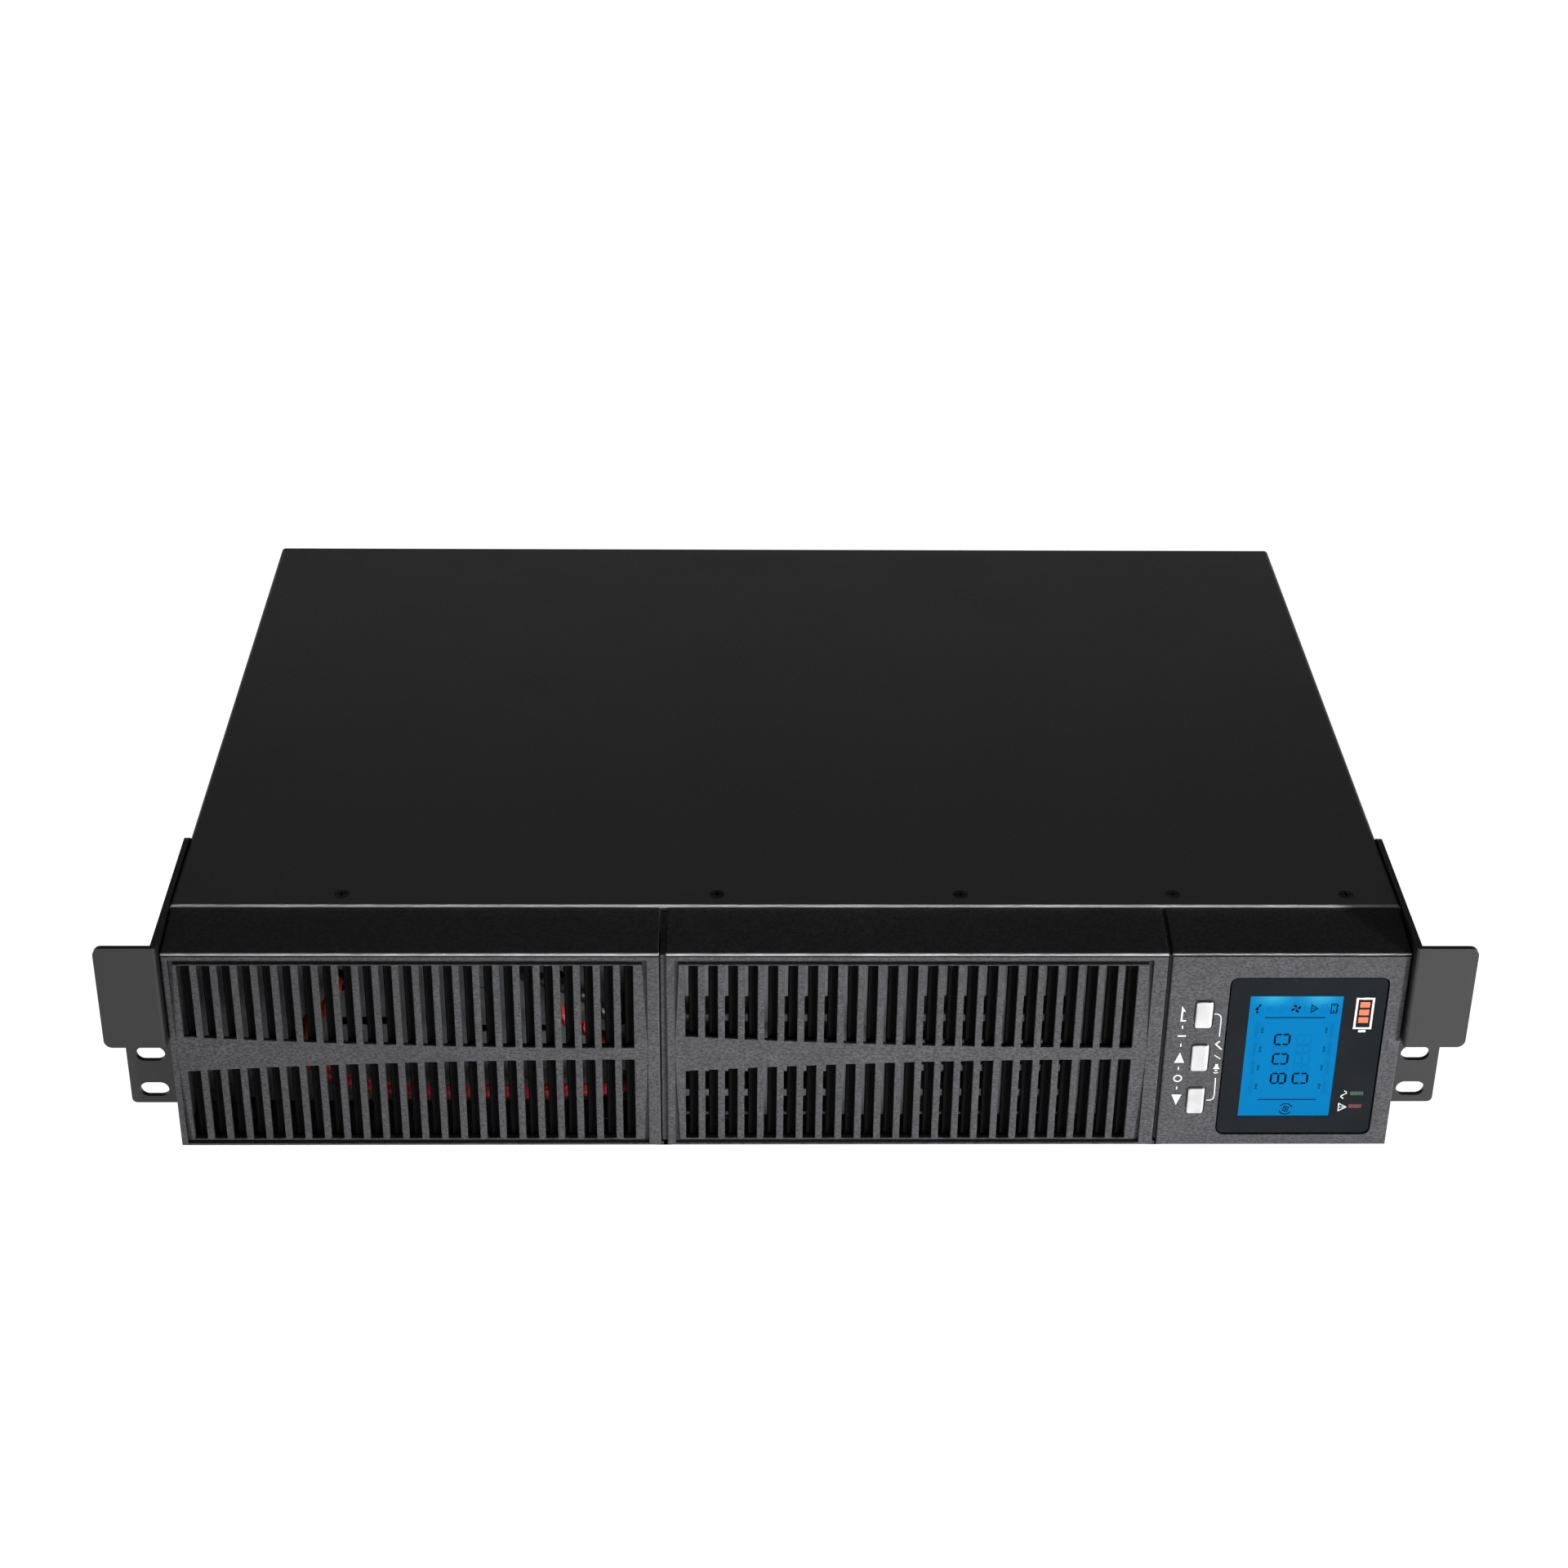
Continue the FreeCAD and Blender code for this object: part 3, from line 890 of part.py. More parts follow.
def mains_inlet():
    flange = rounded_box(INLET_X - 15.5, INLET_X + 15.5, REAR_Y, REAR_Y + 2.4, INLET_Z - 12, INLET_Z + 12,
                         2.5)
    body = prism_y(iec_outline(INLET_X, INLET_Z, 27.2, 19.6, 4.0), REAR_Y - 22.0, REAR_Y)
    cavity = prism_y(iec_outline(INLET_X, INLET_Z, 24.6, 16.8, 3.4), REAR_Y - 15.0, REAR_Y + 3)
    pins = []
    for dx, dz in ((-7.0, -2.0), (0.0, 2.0), (7.0, -2.0)):
        pins.append(box(INLET_X + dx - 1.0, INLET_X + dx + 1.0, REAR_Y - 28.0, REAR_Y - 2.0,
                        INLET_Z + dz - 2.0, INLET_Z + dz + 2.0))
    save("mains_inlet", cut(merge([flange, body]), [cavity] + pins))
    save("inlet_pins", *pins)


def outlet(x, z):
    flange = rounded_box(x - 17.2, x + 17.2, REAR_Y, REAR_Y + 1.8, z - 13.2, z + 13.2, 2.0)
    body = box(x - 15.6, x + 15.6, REAR_Y - 20.0, REAR_Y, z - 11.4, z + 11.4)
    face = REAR_Y + 1.8
    moat = prism_y(iec_outline(x, z, 29.2, 21.0, 5.0), face - 15.0, face + 1)
    core = prism_y(iec_outline(x, z, 23.6, 15.6, 3.6), face - 15.0, face)
    slits = [box(x + dx - 1.3, x + dx + 1.3, face - 13.0, face + 1, z + dz - 2.4, z + dz + 2.4)
             for dx, dz in ((-7.0, -2.0), (0.0, 2.0), (7.0, -2.0))]
    return cut(merge([flange, body]), [cut(moat, [core])] + slits)


def breaker():
    nut = prism_y([(BREAKER_X + 8.6 * math.cos(a), BREAKER_Z + 8.6 * math.sin(a))
                   for a in [math.tau * i / 6 for i in range(6)]], REAR_Y, REAR_Y + 2.0)
    neck = rod(5.9, (BREAKER_X, REAR_IN, BREAKER_Z), Y_DIR, SHEET + 2.8)
    case = box(BREAKER_X - 8.0, BREAKER_X + 8.0, REAR_IN - 28.0, REAR_IN, BREAKER_Z - 14.0, BREAKER_Z + 14.0)
    bore = rod(3.9, (BREAKER_X, REAR_IN - 6.0, BREAKER_Z), Y_DIR, 16.0)
    save("breaker_body", cut(merge([nut, neck, case]), [bore]))
    stem = rod(3.5, (BREAKER_X, REAR_IN - 5.6, BREAKER_Z), Y_DIR, 5.6 + SHEET + 3.8)
    tip = [e for e in stem.Edges if e.Closed and e.CenterOfMass.y > REAR_Y]
    save("breaker_button", stem.makeFillet(0.8, tip))


def data_sockets():
    jacks = box(DATA_X - 15.0, DATA_X + 15.0, REAR_Y - 18.0, REAR_Y + 0.8, JACK_Z - 6.4, JACK_Z + 6.4)
    holes = []
    for dx in (-7.4, 7.4):
        x = DATA_X + dx
        holes += [box(x - 5.9, x + 5.9, REAR_Y - 12.0, REAR_Y + 2, JACK_Z - 4.4, JACK_Z + 2.6),
                  box(x - 3.0, x + 3.0, REAR_Y - 12.0, REAR_Y + 2, JACK_Z + 2.6, JACK_Z + 4.4)]

    usb = box(DATA_X - 6.0, DATA_X + 6.0, REAR_Y - 16.0, REAR_Y + 0.8, USB_Z - 5.5, USB_Z + 5.5)
    mouth = box(DATA_X - 4.3, DATA_X + 4.3, REAR_Y - 10.0, REAR_Y + 2, USB_Z - 4.0, USB_Z + 4.0)
    tongue = box(DATA_X - 2.8, DATA_X + 2.8, REAR_Y - 10.0, REAR_Y - 1.4, USB_Z - 1.6, USB_Z + 1.6)
    save("data_sockets", cut(jacks, holes), cut(usb, [cut(mouth, [tongue])]))

    header = box(DATA_X - 6.1, DATA_X + 6.1, REAR_Y - 12.0, REAR_Y + 1.0, EPO_Z - 4.7, EPO_Z + 4.7)
    pocket = box(DATA_X - 5.0, DATA_X + 5.0, REAR_Y - 8.0, REAR_Y + 2, EPO_Z - 3.6, EPO_Z + 3.6)
    pins = [box(DATA_X + dx - 0.5, DATA_X + dx + 0.5, REAR_Y - 8.0, REAR_Y - 3.6, EPO_Z - 0.5, EPO_Z + 0.5)
            for dx in (-2.54, 2.54)]
    save("epo_socket", merge([cut(header, [pocket])] + pins))


def serial_socket():
    flange = rounded_box(SERIAL_X - 15.4, SERIAL_X + 15.4, REAR_Y, REAR_Y + 0.8, SERIAL_Z - 6.2,
                         SERIAL_Z + 6.2, 1.0)
    body = box(SERIAL_X - 9.6, SERIAL_X + 9.6, REAR_Y - 10.0, REAR_Y, SERIAL_Z - 5.4, SERIAL_Z + 5.4)
    shell = prism_y([(SERIAL_X - 7.6, SERIAL_Z - 4.0), (SERIAL_X + 7.6, SERIAL_Z - 4.0),
                     (SERIAL_X + 8.6, SERIAL_Z + 4.0),
                     (SERIAL_X - 8.6, SERIAL_Z + 4.0)], REAR_Y + 0.8, REAR_Y + 3.8)
    pins = [rod(0.6, (SERIAL_X - 5.54 + 2.77 * i, REAR_Y + 1.0, SERIAL_Z + 1.42), Y_DIR, 4) for i in range(5)]
    pins += [rod(0.6, (SERIAL_X - 4.15 + 2.77 * i, REAR_Y + 1.0, SERIAL_Z - 1.42), Y_DIR, 4)
             for i in range(4)]
    nuts = []
    for dx in (-12.5, 12.5):
        nuts.append(prism_y([(SERIAL_X + dx + 2.6 * math.cos(a), SERIAL_Z + 2.6 * math.sin(a))
                             for a in [math.tau * i / 6 for i in range(6)]], REAR_Y + 0.8, REAR_Y + 3.6))
    save("serial_socket", merge([flange, body, cut(shell, pins)] + nuts))


def option_screw_places():
    z = (OPTION_Z[0] + OPTION_Z[1]) / 2
    return [(OPTION_X[0] + 4.5, z), (OPTION_X[1] - 4.5, z)]


def option_cover():
    cover = rounded_box(OPTION_X[0], OPTION_X[1], REAR_Y, REAR_Y + 1.0, OPTION_Z[0], OPTION_Z[1], 1.5)
    holes = [rod(1.5, (x, REAR_Y - 1, z), Y_DIR, 4) for x, z in option_screw_places()]
    save("option_cover", cut(cover, holes))
    screws = []
    for x, z in option_screw_places():
        head = rod(3.4, (x, REAR_Y + 1.0, z), Y_DIR, 2.8)
        flutes = [rod(0.35, (x + 3.4 * math.cos(a), REAR_Y + 1.6, z + 3.4 * math.sin(a)), Y_DIR, 3)
                  for a in [math.tau * i / 20 for i in range(20)]]
        slot = box(x - 4, x + 4, REAR_Y + 2.8, REAR_Y + 5, z - 0.5, z + 0.5)
        shank = rod(1.45, (x, REAR_Y - 6.0, z), Y_DIR, 7.0)
        screws.append(merge([cut(head, flutes + [slot]), shank]))
    save("option_screws", *screws)


def rear_fittings():
    save("output_sockets", *[outlet(x, z) for x in OUTLET_X for z in OUTLET_Z])
    washer = cut(rod(4.6, (EARTH_X, REAR_Y, EARTH_Z), Y_DIR, 0.8),
                 [rod(1.95, (EARTH_X, REAR_Y - 1, EARTH_Z), Y_DIR, 3)])
    screw = pan_screw((EARTH_X, REAR_Y + 0.8, EARTH_Z), Y_DIR, 3.6, 2.4, 1.9, 9.0)
    panel_screws = [pan_screw((x, REAR_Y, z), Y_DIR, 2.7, 1.7, 1.45, 6.0) for x, z in rear_screw_places()]
    save("rear_screws", *panel_screws, screw, washer)


def main():
    os.makedirs("parts", exist_ok=True)
    bottom_pan()
    top_cover()
    cover_screws()
    front_plate()
    bay_wall()
    tray_rails()
    rack_ears()
    grille_bezel("left_grille", LEFT_BEZEL, LEFT_GRILLE_X, (-216.8, -49.6))
    seam = seam_tongue(MIDDLE_BEZEL[0], MIDDLE_BEZEL[0] - LEFT_BEZEL[1], 1.5)
    grille_bezel("middle_grille", MIDDLE_BEZEL, MIDDLE_GRILLE_X, (-40.1, 128.5), [seam])
    louvre_insert("left_louvre", LEFT_BEZEL, LEFT_GRILLE_X)
    louvre_insert("middle_louvre", MIDDLE_BEZEL, MIDDLE_GRILLE_X)
    control_bezel()
    display_frame()
    buttons()
    control_board()
    ribbon_cable()
    battery_tray()
    batteries()
    battery_leads()
    battery_connector()
    tray_screws()
    transformer()
    main_board()
    board_parts(heat_sinks())
    fan_frame()
    fan_rotor()
    fan_guard()
    rear_panel()
    mains_inlet()
    breaker()
    data_sockets()
    serial_socket()
    option_cover()
    rear_fittings()


main()
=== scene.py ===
import math

import bmesh
import bpy
from mathutils import Matrix, Vector


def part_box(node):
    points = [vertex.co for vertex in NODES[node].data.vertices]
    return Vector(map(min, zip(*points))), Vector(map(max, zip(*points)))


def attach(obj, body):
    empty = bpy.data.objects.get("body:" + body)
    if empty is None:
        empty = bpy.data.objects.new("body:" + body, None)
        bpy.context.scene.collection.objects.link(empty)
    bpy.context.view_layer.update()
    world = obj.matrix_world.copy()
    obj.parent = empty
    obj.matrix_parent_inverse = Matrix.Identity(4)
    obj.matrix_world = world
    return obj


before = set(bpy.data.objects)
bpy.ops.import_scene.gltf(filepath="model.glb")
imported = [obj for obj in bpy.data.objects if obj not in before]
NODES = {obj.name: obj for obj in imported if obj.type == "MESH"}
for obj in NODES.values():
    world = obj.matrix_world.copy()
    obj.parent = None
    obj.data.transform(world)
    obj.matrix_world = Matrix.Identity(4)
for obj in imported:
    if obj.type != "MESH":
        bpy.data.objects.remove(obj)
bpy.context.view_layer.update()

# Metres, in the part's own frame: +X right, +Y to the rear, +Z up. MM turns millimetres into metres.
MM = 0.001


# ---- camera, light and floor ----------------------------------------------------------------
CAMERA_PLACE = Vector((-0.0204, -0.9884, 0.6350))
CAMERA_PITCH = math.radians(30.19)      # downwards
CAMERA_YAW = math.radians(1.25)         # to the right
CAMERA_ROLL = math.radians(0.70)
CAMERA_LENS = 65.34                     # mm, on a 36 mm sensor


def add_camera():
    forward = Vector((math.sin(CAMERA_YAW) * math.cos(CAMERA_PITCH),
                      math.cos(CAMERA_YAW) * math.cos(CAMERA_PITCH),
                      -math.sin(CAMERA_PITCH)))
    right = Vector((math.cos(CAMERA_YAW), -math.sin(CAMERA_YAW), 0))
    up = right.cross(forward)
    rolled_right = right * math.cos(CAMERA_ROLL) + up * math.sin(CAMERA_ROLL)
    rolled_up = up * math.cos(CAMERA_ROLL) - right * math.sin(CAMERA_ROLL)
    camera = bpy.data.objects.new("camera", bpy.data.cameras.new("camera"))
    bpy.context.scene.collection.objects.link(camera)
    turn = Matrix((rolled_right, rolled_up, -forward)).transposed()
    camera.matrix_world = Matrix.Translation(CAMERA_PLACE) @ turn.to_4x4()
    camera.data.lens = CAMERA_LENS
    camera.data.sensor_width = 36
    camera.data.clip_start = 0.01
    camera.data.clip_end = 60
    bpy.context.scene.camera = camera


KEY_HEIGHT, KEY_TALL = 0.044, 0.084     # the two keys stay below the cover, so they never glare on it


def softbox(name, place, target, width, height, power, spread=180):
    lamp = bpy.data.lights.new(name, "AREA")
    lamp.shape = "RECTANGLE"
    lamp.size = width
    lamp.size_y = height
    lamp.energy = power
    lamp.spread = math.radians(spread)
    box = bpy.data.objects.new(name, lamp)
    bpy.context.scene.collection.objects.link(box)
    box.location = place
    box.rotation_euler = (Vector(target) - Vector(place)).to_track_quat("-Z", "Y").to_euler()


def add_lights():
    middle = (0, 0, 0.05)
    softbox("key_right", (0.95, -1.3, KEY_HEIGHT), (0.115, -0.16, KEY_HEIGHT), 0.5, KEY_TALL, 0.40, 13)
    softbox("key_front", (0.25, -2.2, KEY_HEIGHT), (0.1, -0.16, KEY_HEIGHT), 2.0, KEY_TALL, 4.2)
    softbox("rear_low", (0.1, 2.6, 0.30), middle, 2.6, 0.4, 6.2)
    softbox("top_wide", (-0.6, -0.2, 2.6), middle, 2.4, 2.4, 4.6)
    world = bpy.data.worlds.new("studio")
    bpy.context.scene.world = world
    world.use_nodes = True
    back = world.node_tree.nodes["Background"]
    back.inputs["Color"].default_value = (1, 1, 1, 1)
    back.inputs["Strength"].default_value = 0.04
    bpy.context.scene.view_settings.view_transform = "Standard"


STAGE_REACH = 12.0             # metres out to the wall round the floor
STAGE_HEIGHT = 8.0
STAGE_GLOW = 1.0               # as bright as the picture's white
FLOOR_GAP = 0.0002             # metres between the floor and the unit, so that their faces don't mix


def stage_piece(name, points, faces):
    """One pale, matt piece of the studio round the unit."""
    mesh = bpy.data.meshes.new(name)
    mesh.from_pydata(points, [], faces)
    piece = bpy.data.objects.new(name, mesh)
    bpy.context.scene.collection.objects.link(piece)
    paper = bpy.data.materials.new(name + "_paper")
    paper.use_nodes = True
    shader = paper.node_tree.nodes["Principled BSDF"]
    shader.inputs["Base Color"].default_value = (0.8, 0.8, 0.8, 1)
    shader.inputs["Roughness"].default_value = 0.9
    shader.inputs["Emission Color"].default_value = (1, 1, 1, 1)
    shader.inputs["Emission Strength"].default_value = STAGE_GLOW
    mesh.materials.append(paper)
    return piece


def add_stage():
    """A plain white floor, evenly lit from below like a light table, and a white wall far round it.
    The wall only closes the view over the horizon: it sends no light onto the unit."""
    low, high = -STAGE_REACH, STAGE_REACH
    ring = [(low, low), (high, low), (high, high), (low, high)]
    floor = stage_piece("floor", [(x, y, 0) for x, y in ring], [(0, 1, 2, 3)])
    floor.location.z = -FLOOR_GAP
    wall_points = [(x, y, z) for z in (-0.01, STAGE_HEIGHT) for x, y in ring]
    wall_faces = [(i, (i + 1) % 4, (i + 1) % 4 + 4, i + 4) for i in range(4)]
    wall = stage_piece("wall", wall_points, wall_faces)
    wall.visible_diffuse = wall.visible_glossy = wall.visible_shadow = False
    wall.visible_transmission = wall.visible_volume_scatter = False


# ---- finishes -------------------------------------------------------------------------------
def rgb(code):
    """A linear colour from the usual six-figure code."""
    parts = [int(code[i:i + 2], 16) / 255 for i in (0, 2, 4)]
    return tuple(p / 12.92 if p <= 0.04045 else ((p + 0.055) / 1.055) ** 2.4 for p in parts) + (1.0,)


WAVE_SCALE = 0.314             # scale at which the wave texture repeats once in each unit of length


class Finish:
    """One Principled material, with short ways to make the textures that drive it. Sizes are in mm."""

    def __init__(self, name, **sockets):
        self.material = bpy.data.materials.new(name)
        self.material.use_nodes = True
        self.tree = self.material.node_tree
        self.tree.nodes.clear()
        self.shader = self.node("ShaderNodeBsdfPrincipled")
        self.join(self.shader.outputs[0], self.node("ShaderNodeOutputMaterial").inputs[0])
        for socket, value in sockets.items():
            self.shader.inputs[socket.replace("_", " ")].default_value = value
        self.place = self.node("ShaderNodeTexCoord").outputs["Object"]
        self.normal = None

    def node(self, kind, **settings):
        made = self.tree.nodes.new(kind)
        for key, value in settings.items():
            setattr(made, key, value)
        return made

    def join(self, source, target):
        self.tree.links.new(source, target)

    def stretched(self, x, y, z):
        """Object coordinates scaled along each axis: a texture is drawn out along those scaled down."""
        mapping = self.node("ShaderNodeMapping")
        mapping.inputs["Scale"].default_value = (x, y, z)
        self.join(self.place, mapping.inputs["Vector"])
        return mapping.outputs[0]

    def noise(self, size, detail=2.0, place=None, roughness=0.5):
        made = self.node("ShaderNodeTexNoise")
        made.inputs["Scale"].default_value = 1 / (size * MM)
        made.inputs["Detail"].default_value = detail
        made.inputs["Roughness"].default_value = roughness
        self.join(place or self.place, made.inputs["Vector"])
        return made.outputs["Fac"]

    def cells(self, size, distance="EUCLIDEAN"):
        """How far each point is from its nearest cell's middle, in cells."""
        made = self.node("ShaderNodeTexVoronoi", distance=distance)
        made.inputs["Scale"].default_value = 1 / (size * MM)
        self.join(self.place, made.inputs["Vector"])
        return made.outputs["Distance"]

    def waves(self, size, axis, distortion=0.0):
        """Even bands across an axis, one to each size in mm."""
        made = self.node("ShaderNodeTexWave", bands_direction=axis)
        made.inputs["Scale"].default_value = WAVE_SCALE / (size * MM)
        made.inputs["Distortion"].default_value = distortion
        self.join(self.place, made.inputs["Vector"])
        return made.outputs["Fac"]

    def axis(self, name):
        split = self.node("ShaderNodeSeparateXYZ")
        self.join(self.place, split.inputs[0])
        return split.outputs[name]

    def levels(self, source, low, high, to_low, to_high, smooth=False):
        made = self.node("ShaderNodeMapRange")
        if smooth:
            made.interpolation_type = "SMOOTHSTEP"
        self.join(source, made.inputs["Value"])
        ends = {"From Min": low, "From Max": high, "To Min": to_low, "To Max": to_high}
        for socket, value in ends.items():
            made.inputs[socket].default_value = value
        return made.outputs["Result"]

    def sum(self, a, b, operation="ADD"):
        made = self.node("ShaderNodeMath", operation=operation)
        for source, target in zip((a, b), made.inputs):
            if isinstance(source, (int, float)):
                target.default_value = source
            else:
                self.join(source, target)
        return made.outputs[0]

    def tint(self, share, a, b):
        """Colour a where share is 0, b where it is 1. Each is a colour or a socket."""
        made = self.node("ShaderNodeMix", data_type="RGBA")
        self.join(share, made.inputs["Factor"])
        for source, target in ((a, made.inputs[6]), (b, made.inputs[7])):
            if isinstance(source, tuple):
                target.default_value = source
            else:
                self.join(source, target)
        return made.outputs[2]

    def drive(self, socket, source):
        self.join(source, self.shader.inputs[socket])
        return self

    def relief(self, height, depth, strength=1.0):
        """Bump of the given depth in mm, added to any bump already there."""
        made = self.node("ShaderNodeBump")
        made.inputs["Strength"].default_value = strength
        made.inputs["Distance"].default_value = depth * MM
        self.join(height, made.inputs["Height"])
        if self.normal is not None:
            self.join(self.normal, made.inputs["Normal"])
        self.normal = made.outputs[0]
        self.join(self.normal, self.shader.inputs["Normal"])
        return self


def specks(finish, base, size, share, radius, colour):
    """Sparse light specks of dust over a base colour."""
    near = finish.levels(finish.cells(size), radius * 0.6, radius, 1.0, 0.0)
    chosen = finish.levels(finish.noise(size * 1.7, 0.0), share, share + 0.02, 0.0, 1.0)
    return finish.tint(finish.sum(near, chosen, "MULTIPLY"), base, colour)


def powder_coat(name, dark, light, dusty=True, highlight_front=None):
    """Satin powder coat on sheet steel. Along a front edge, at the y given, a thin band gets a painted
    highlight.
    """
    f = Finish(name, Specular_IOR_Level=0.5)
    base = f.tint(f.levels(f.noise(0.45, 2.0), 0.3, 0.7, 0.0, 1.0), rgb(dark), rgb(light))
    base = f.tint(f.levels(f.noise(70.0, 2.0), 0.35, 0.65, 0.0, 0.35), base, rgb(light))
    if dusty:
        base = specks(f, base, 9.0, 0.52, 0.03, rgb("5c5c5a"))
        base = specks(f, base, 3.2, 0.60, 0.05, rgb("3c3c3b"))
    # painted highlight: a thin, patchy pale band just behind the front edge at the y given
    if highlight_front is not None:
        near = f.levels(f.axis("Y"), highlight_front + 0.30 * MM, highlight_front + 0.55 * MM, 1.0, 0.0)
        patchy = f.levels(f.noise(6.0, 2.0, f.stretched(0.3, 1, 1)), 0.3, 0.7, 0.6, 1.0)
        base = f.tint(f.sum(near, patchy, "MULTIPLY"), base, rgb("a6a6a6"))
    f.drive("Base Color", base)
    f.drive("Roughness", f.sum(f.levels(f.noise(45.0, 3.0), 0.3, 0.7, 0.42, 0.50),
                               f.levels(f.noise(1.2), 0.3, 0.7, -0.03, 0.03)))
    f.relief(f.noise(0.85, 1.5), 0.020, 0.5)
    return f.relief(f.noise(9.0, 1.0), 0.03, 0.25).material


def moulded_grain(name, dark, light, grain=0.42, depth=0.05, rough=0.56, gloss=0.5,
                  highlight_band=None, shade_behind=None):
    """Plastic from a spark-eroded mould: an even fine grain that glints a little. A pair of heights in
    metres marks a band along the upper front edge that gets a painted highlight. Behind the depth given
    the plastic is painted darker, as painted shade on the surfaces set back from the front."""
    f = Finish(name, Specular_IOR_Level=gloss)
    flow = f.stretched(0.55, 1, 1)
    speckle = f.noise(grain, 3.0, flow, roughness=0.6)
    base = f.tint(f.levels(speckle, 0.40, 0.60, 0.0, 1.0), rgb(dark), rgb(light))
    base = f.tint(f.levels(f.noise(grain * 6, 3.0, flow), 0.35, 0.65, 0.0, 0.35), base, rgb(dark))
    base = f.tint(f.levels(f.noise(35.0, 2.0), 0.3, 0.7, 0.0, 0.3), base, rgb(dark))
    # painted shade: surfaces set back more than about a millimetre behind the given front, such as the
    # top slope, grooves and slot walls, are darkened towards near black
    if shade_behind is not None:
        behind = f.levels(f.axis("Y"), shade_behind + 0.25 * MM, shade_behind + 0.9 * MM, 0.0, 0.42)
        base = f.tint(behind, base, rgb("0a0a0b"))
    # painted highlight: a pale, patchy band along the upper front edge, between the two heights and only
    # close to the front face
    if highlight_band:
        low, high = highlight_band
        rise = f.levels(f.axis("Z"), low, low + 0.25 * MM, 0.0, 1.0)
        fall = f.levels(f.axis("Z"), high - 0.2 * MM, high, 1.0, 0.0)
        ahead = f.levels(f.axis("Y"), BEZEL_FACE + 0.5 * MM, BEZEL_FACE + 1.2 * MM, 1.0, 0.0)
        patchy = f.levels(f.noise(4.0, 2.0, f.stretched(0.4, 1, 1)), 0.3, 0.7, 0.55, 1.0)
        painted_highlight = f.sum(f.sum(rise, fall, "MULTIPLY"), f.sum(ahead, patchy, "MULTIPLY"), "MULTIPLY")
        base = f.tint(painted_highlight, base, rgb("b8b8ba"))
    f.drive("Base Color", base)
    f.drive("Roughness", f.levels(f.noise(grain * 2.2, 2.0), 0.3, 0.7, rough - 0.07, rough + 0.07))
    f.relief(f.noise(grain * 1.3, 2.0, roughness=0.6), depth, 0.55)
    return f.material


def smooth_plastic(name, dark, light, rough=0.35, **sockets):
    """Moulded plastic without grain: faint flow marks, dust and a slightly uneven gloss."""
    f = Finish(name, **sockets)
    base = f.tint(f.levels(f.noise(6.0, 3.0), 0.3, 0.7, 0.0, 1.0), rgb(dark), rgb(light))
    f.drive("Base Color", base)
    f.drive("Roughness", f.levels(f.noise(2.5, 3.0), 0.3, 0.7, rough - 0.06, rough + 0.08))
    return f.relief(f.noise(1.1, 2.0), 0.012, 0.35).material


def rolled_metal(name, dark, light, rough=0.36, along="x"):
    """Sheet or turned metal: fine drawn-out lines, soft patches and a few darker stains."""
    f = Finish(name, Metallic=1.0)
    squeeze = {"x": (0.04, 1, 1), "y": (1, 0.04, 1), "z": (1, 1, 0.04), "none": (1, 1, 1)}[along]
    lines = f.noise(0.35, 3.0, f.stretched(*squeeze))
    patches = f.levels(f.noise(14.0, 3.0), 0.35, 0.68, 0.0, 1.0)
    base = f.tint(patches, rgb(light), rgb(dark))
    f.drive("Base Color", base)
    f.drive("Roughness", f.sum(f.levels(lines, 0.3, 0.7, rough - 0.08, rough + 0.08),
                               f.levels(patches, 0.0, 1.0, -0.03, 0.05)))
    return f.relief(lines, 0.01, 0.4).material


def black_gloss(name):
    """The glossy display surround, with faint smears and a little dust."""
    f = Finish(name, Coat_Weight=0.05, Coat_Roughness=0.05, Specular_IOR_Level=0.14)
    base = f.tint(f.levels(f.noise(22.0, 2.0), 0.3, 0.7, 0.0, 1.0), rgb("080c10"), rgb("0d1318"))
    f.drive("Base Color", specks(f, base, 4.0, 0.56, 0.03, rgb("4a4f55")))
    f.drive("Roughness", f.levels(f.noise(5.0, 4.0, f.stretched(1, 1, 0.3)), 0.35, 0.7, 0.14, 0.30))
    return f.relief(f.noise(12.0, 1.0), 0.02, 0.2).material


def lcd_glass(name):
    """A lit blue display: brighter near its lamps at the top edge, with a fine dot screen."""
    f = Finish(name, Roughness=0.16, Emission_Strength=0.9, Specular_IOR_Level=0.02)
    low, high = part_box("lcd_panel")
    height = f.axis("Z")
    lamp = f.levels(height, high.z - 6 * MM, high.z, 0.0, 1.0, smooth=True)
    across = (high.x - low.x) / 4
    spots = [f.levels(f.sum(f.sum(f.axis("X"), low.x + k * across, "SUBTRACT"), 0, "ABSOLUTE"),
                      0.0, 8 * MM, 1.0, 0.15, smooth=True) for k in (1, 3)]
    base = f.tint(f.sum(lamp, f.sum(*spots, "MAXIMUM"), "MULTIPLY"), rgb("0086cb"), rgb("38bdf2"))
    base = f.tint(f.levels(height, low.z, low.z + 20 * MM, 0.35, 0.0, smooth=True), base, rgb("007cc0"))
    dots = f.levels(f.sum(f.waves(0.35, "X"), f.waves(0.35, "Z"), "MULTIPLY"), 0.0, 0.5, 0.10, 0.0)
    base = f.tint(dots, base, rgb("006fb0"))
    f.drive("Emission Color", base)
    f.drive("Base Color", f.tint(f.levels(base, 0.0, 1.0, 0.0, 1.0), rgb("04202e"), rgb("06283a")))
    return f.relief(f.noise(3.0, 1.0), 0.004, 0.2).material


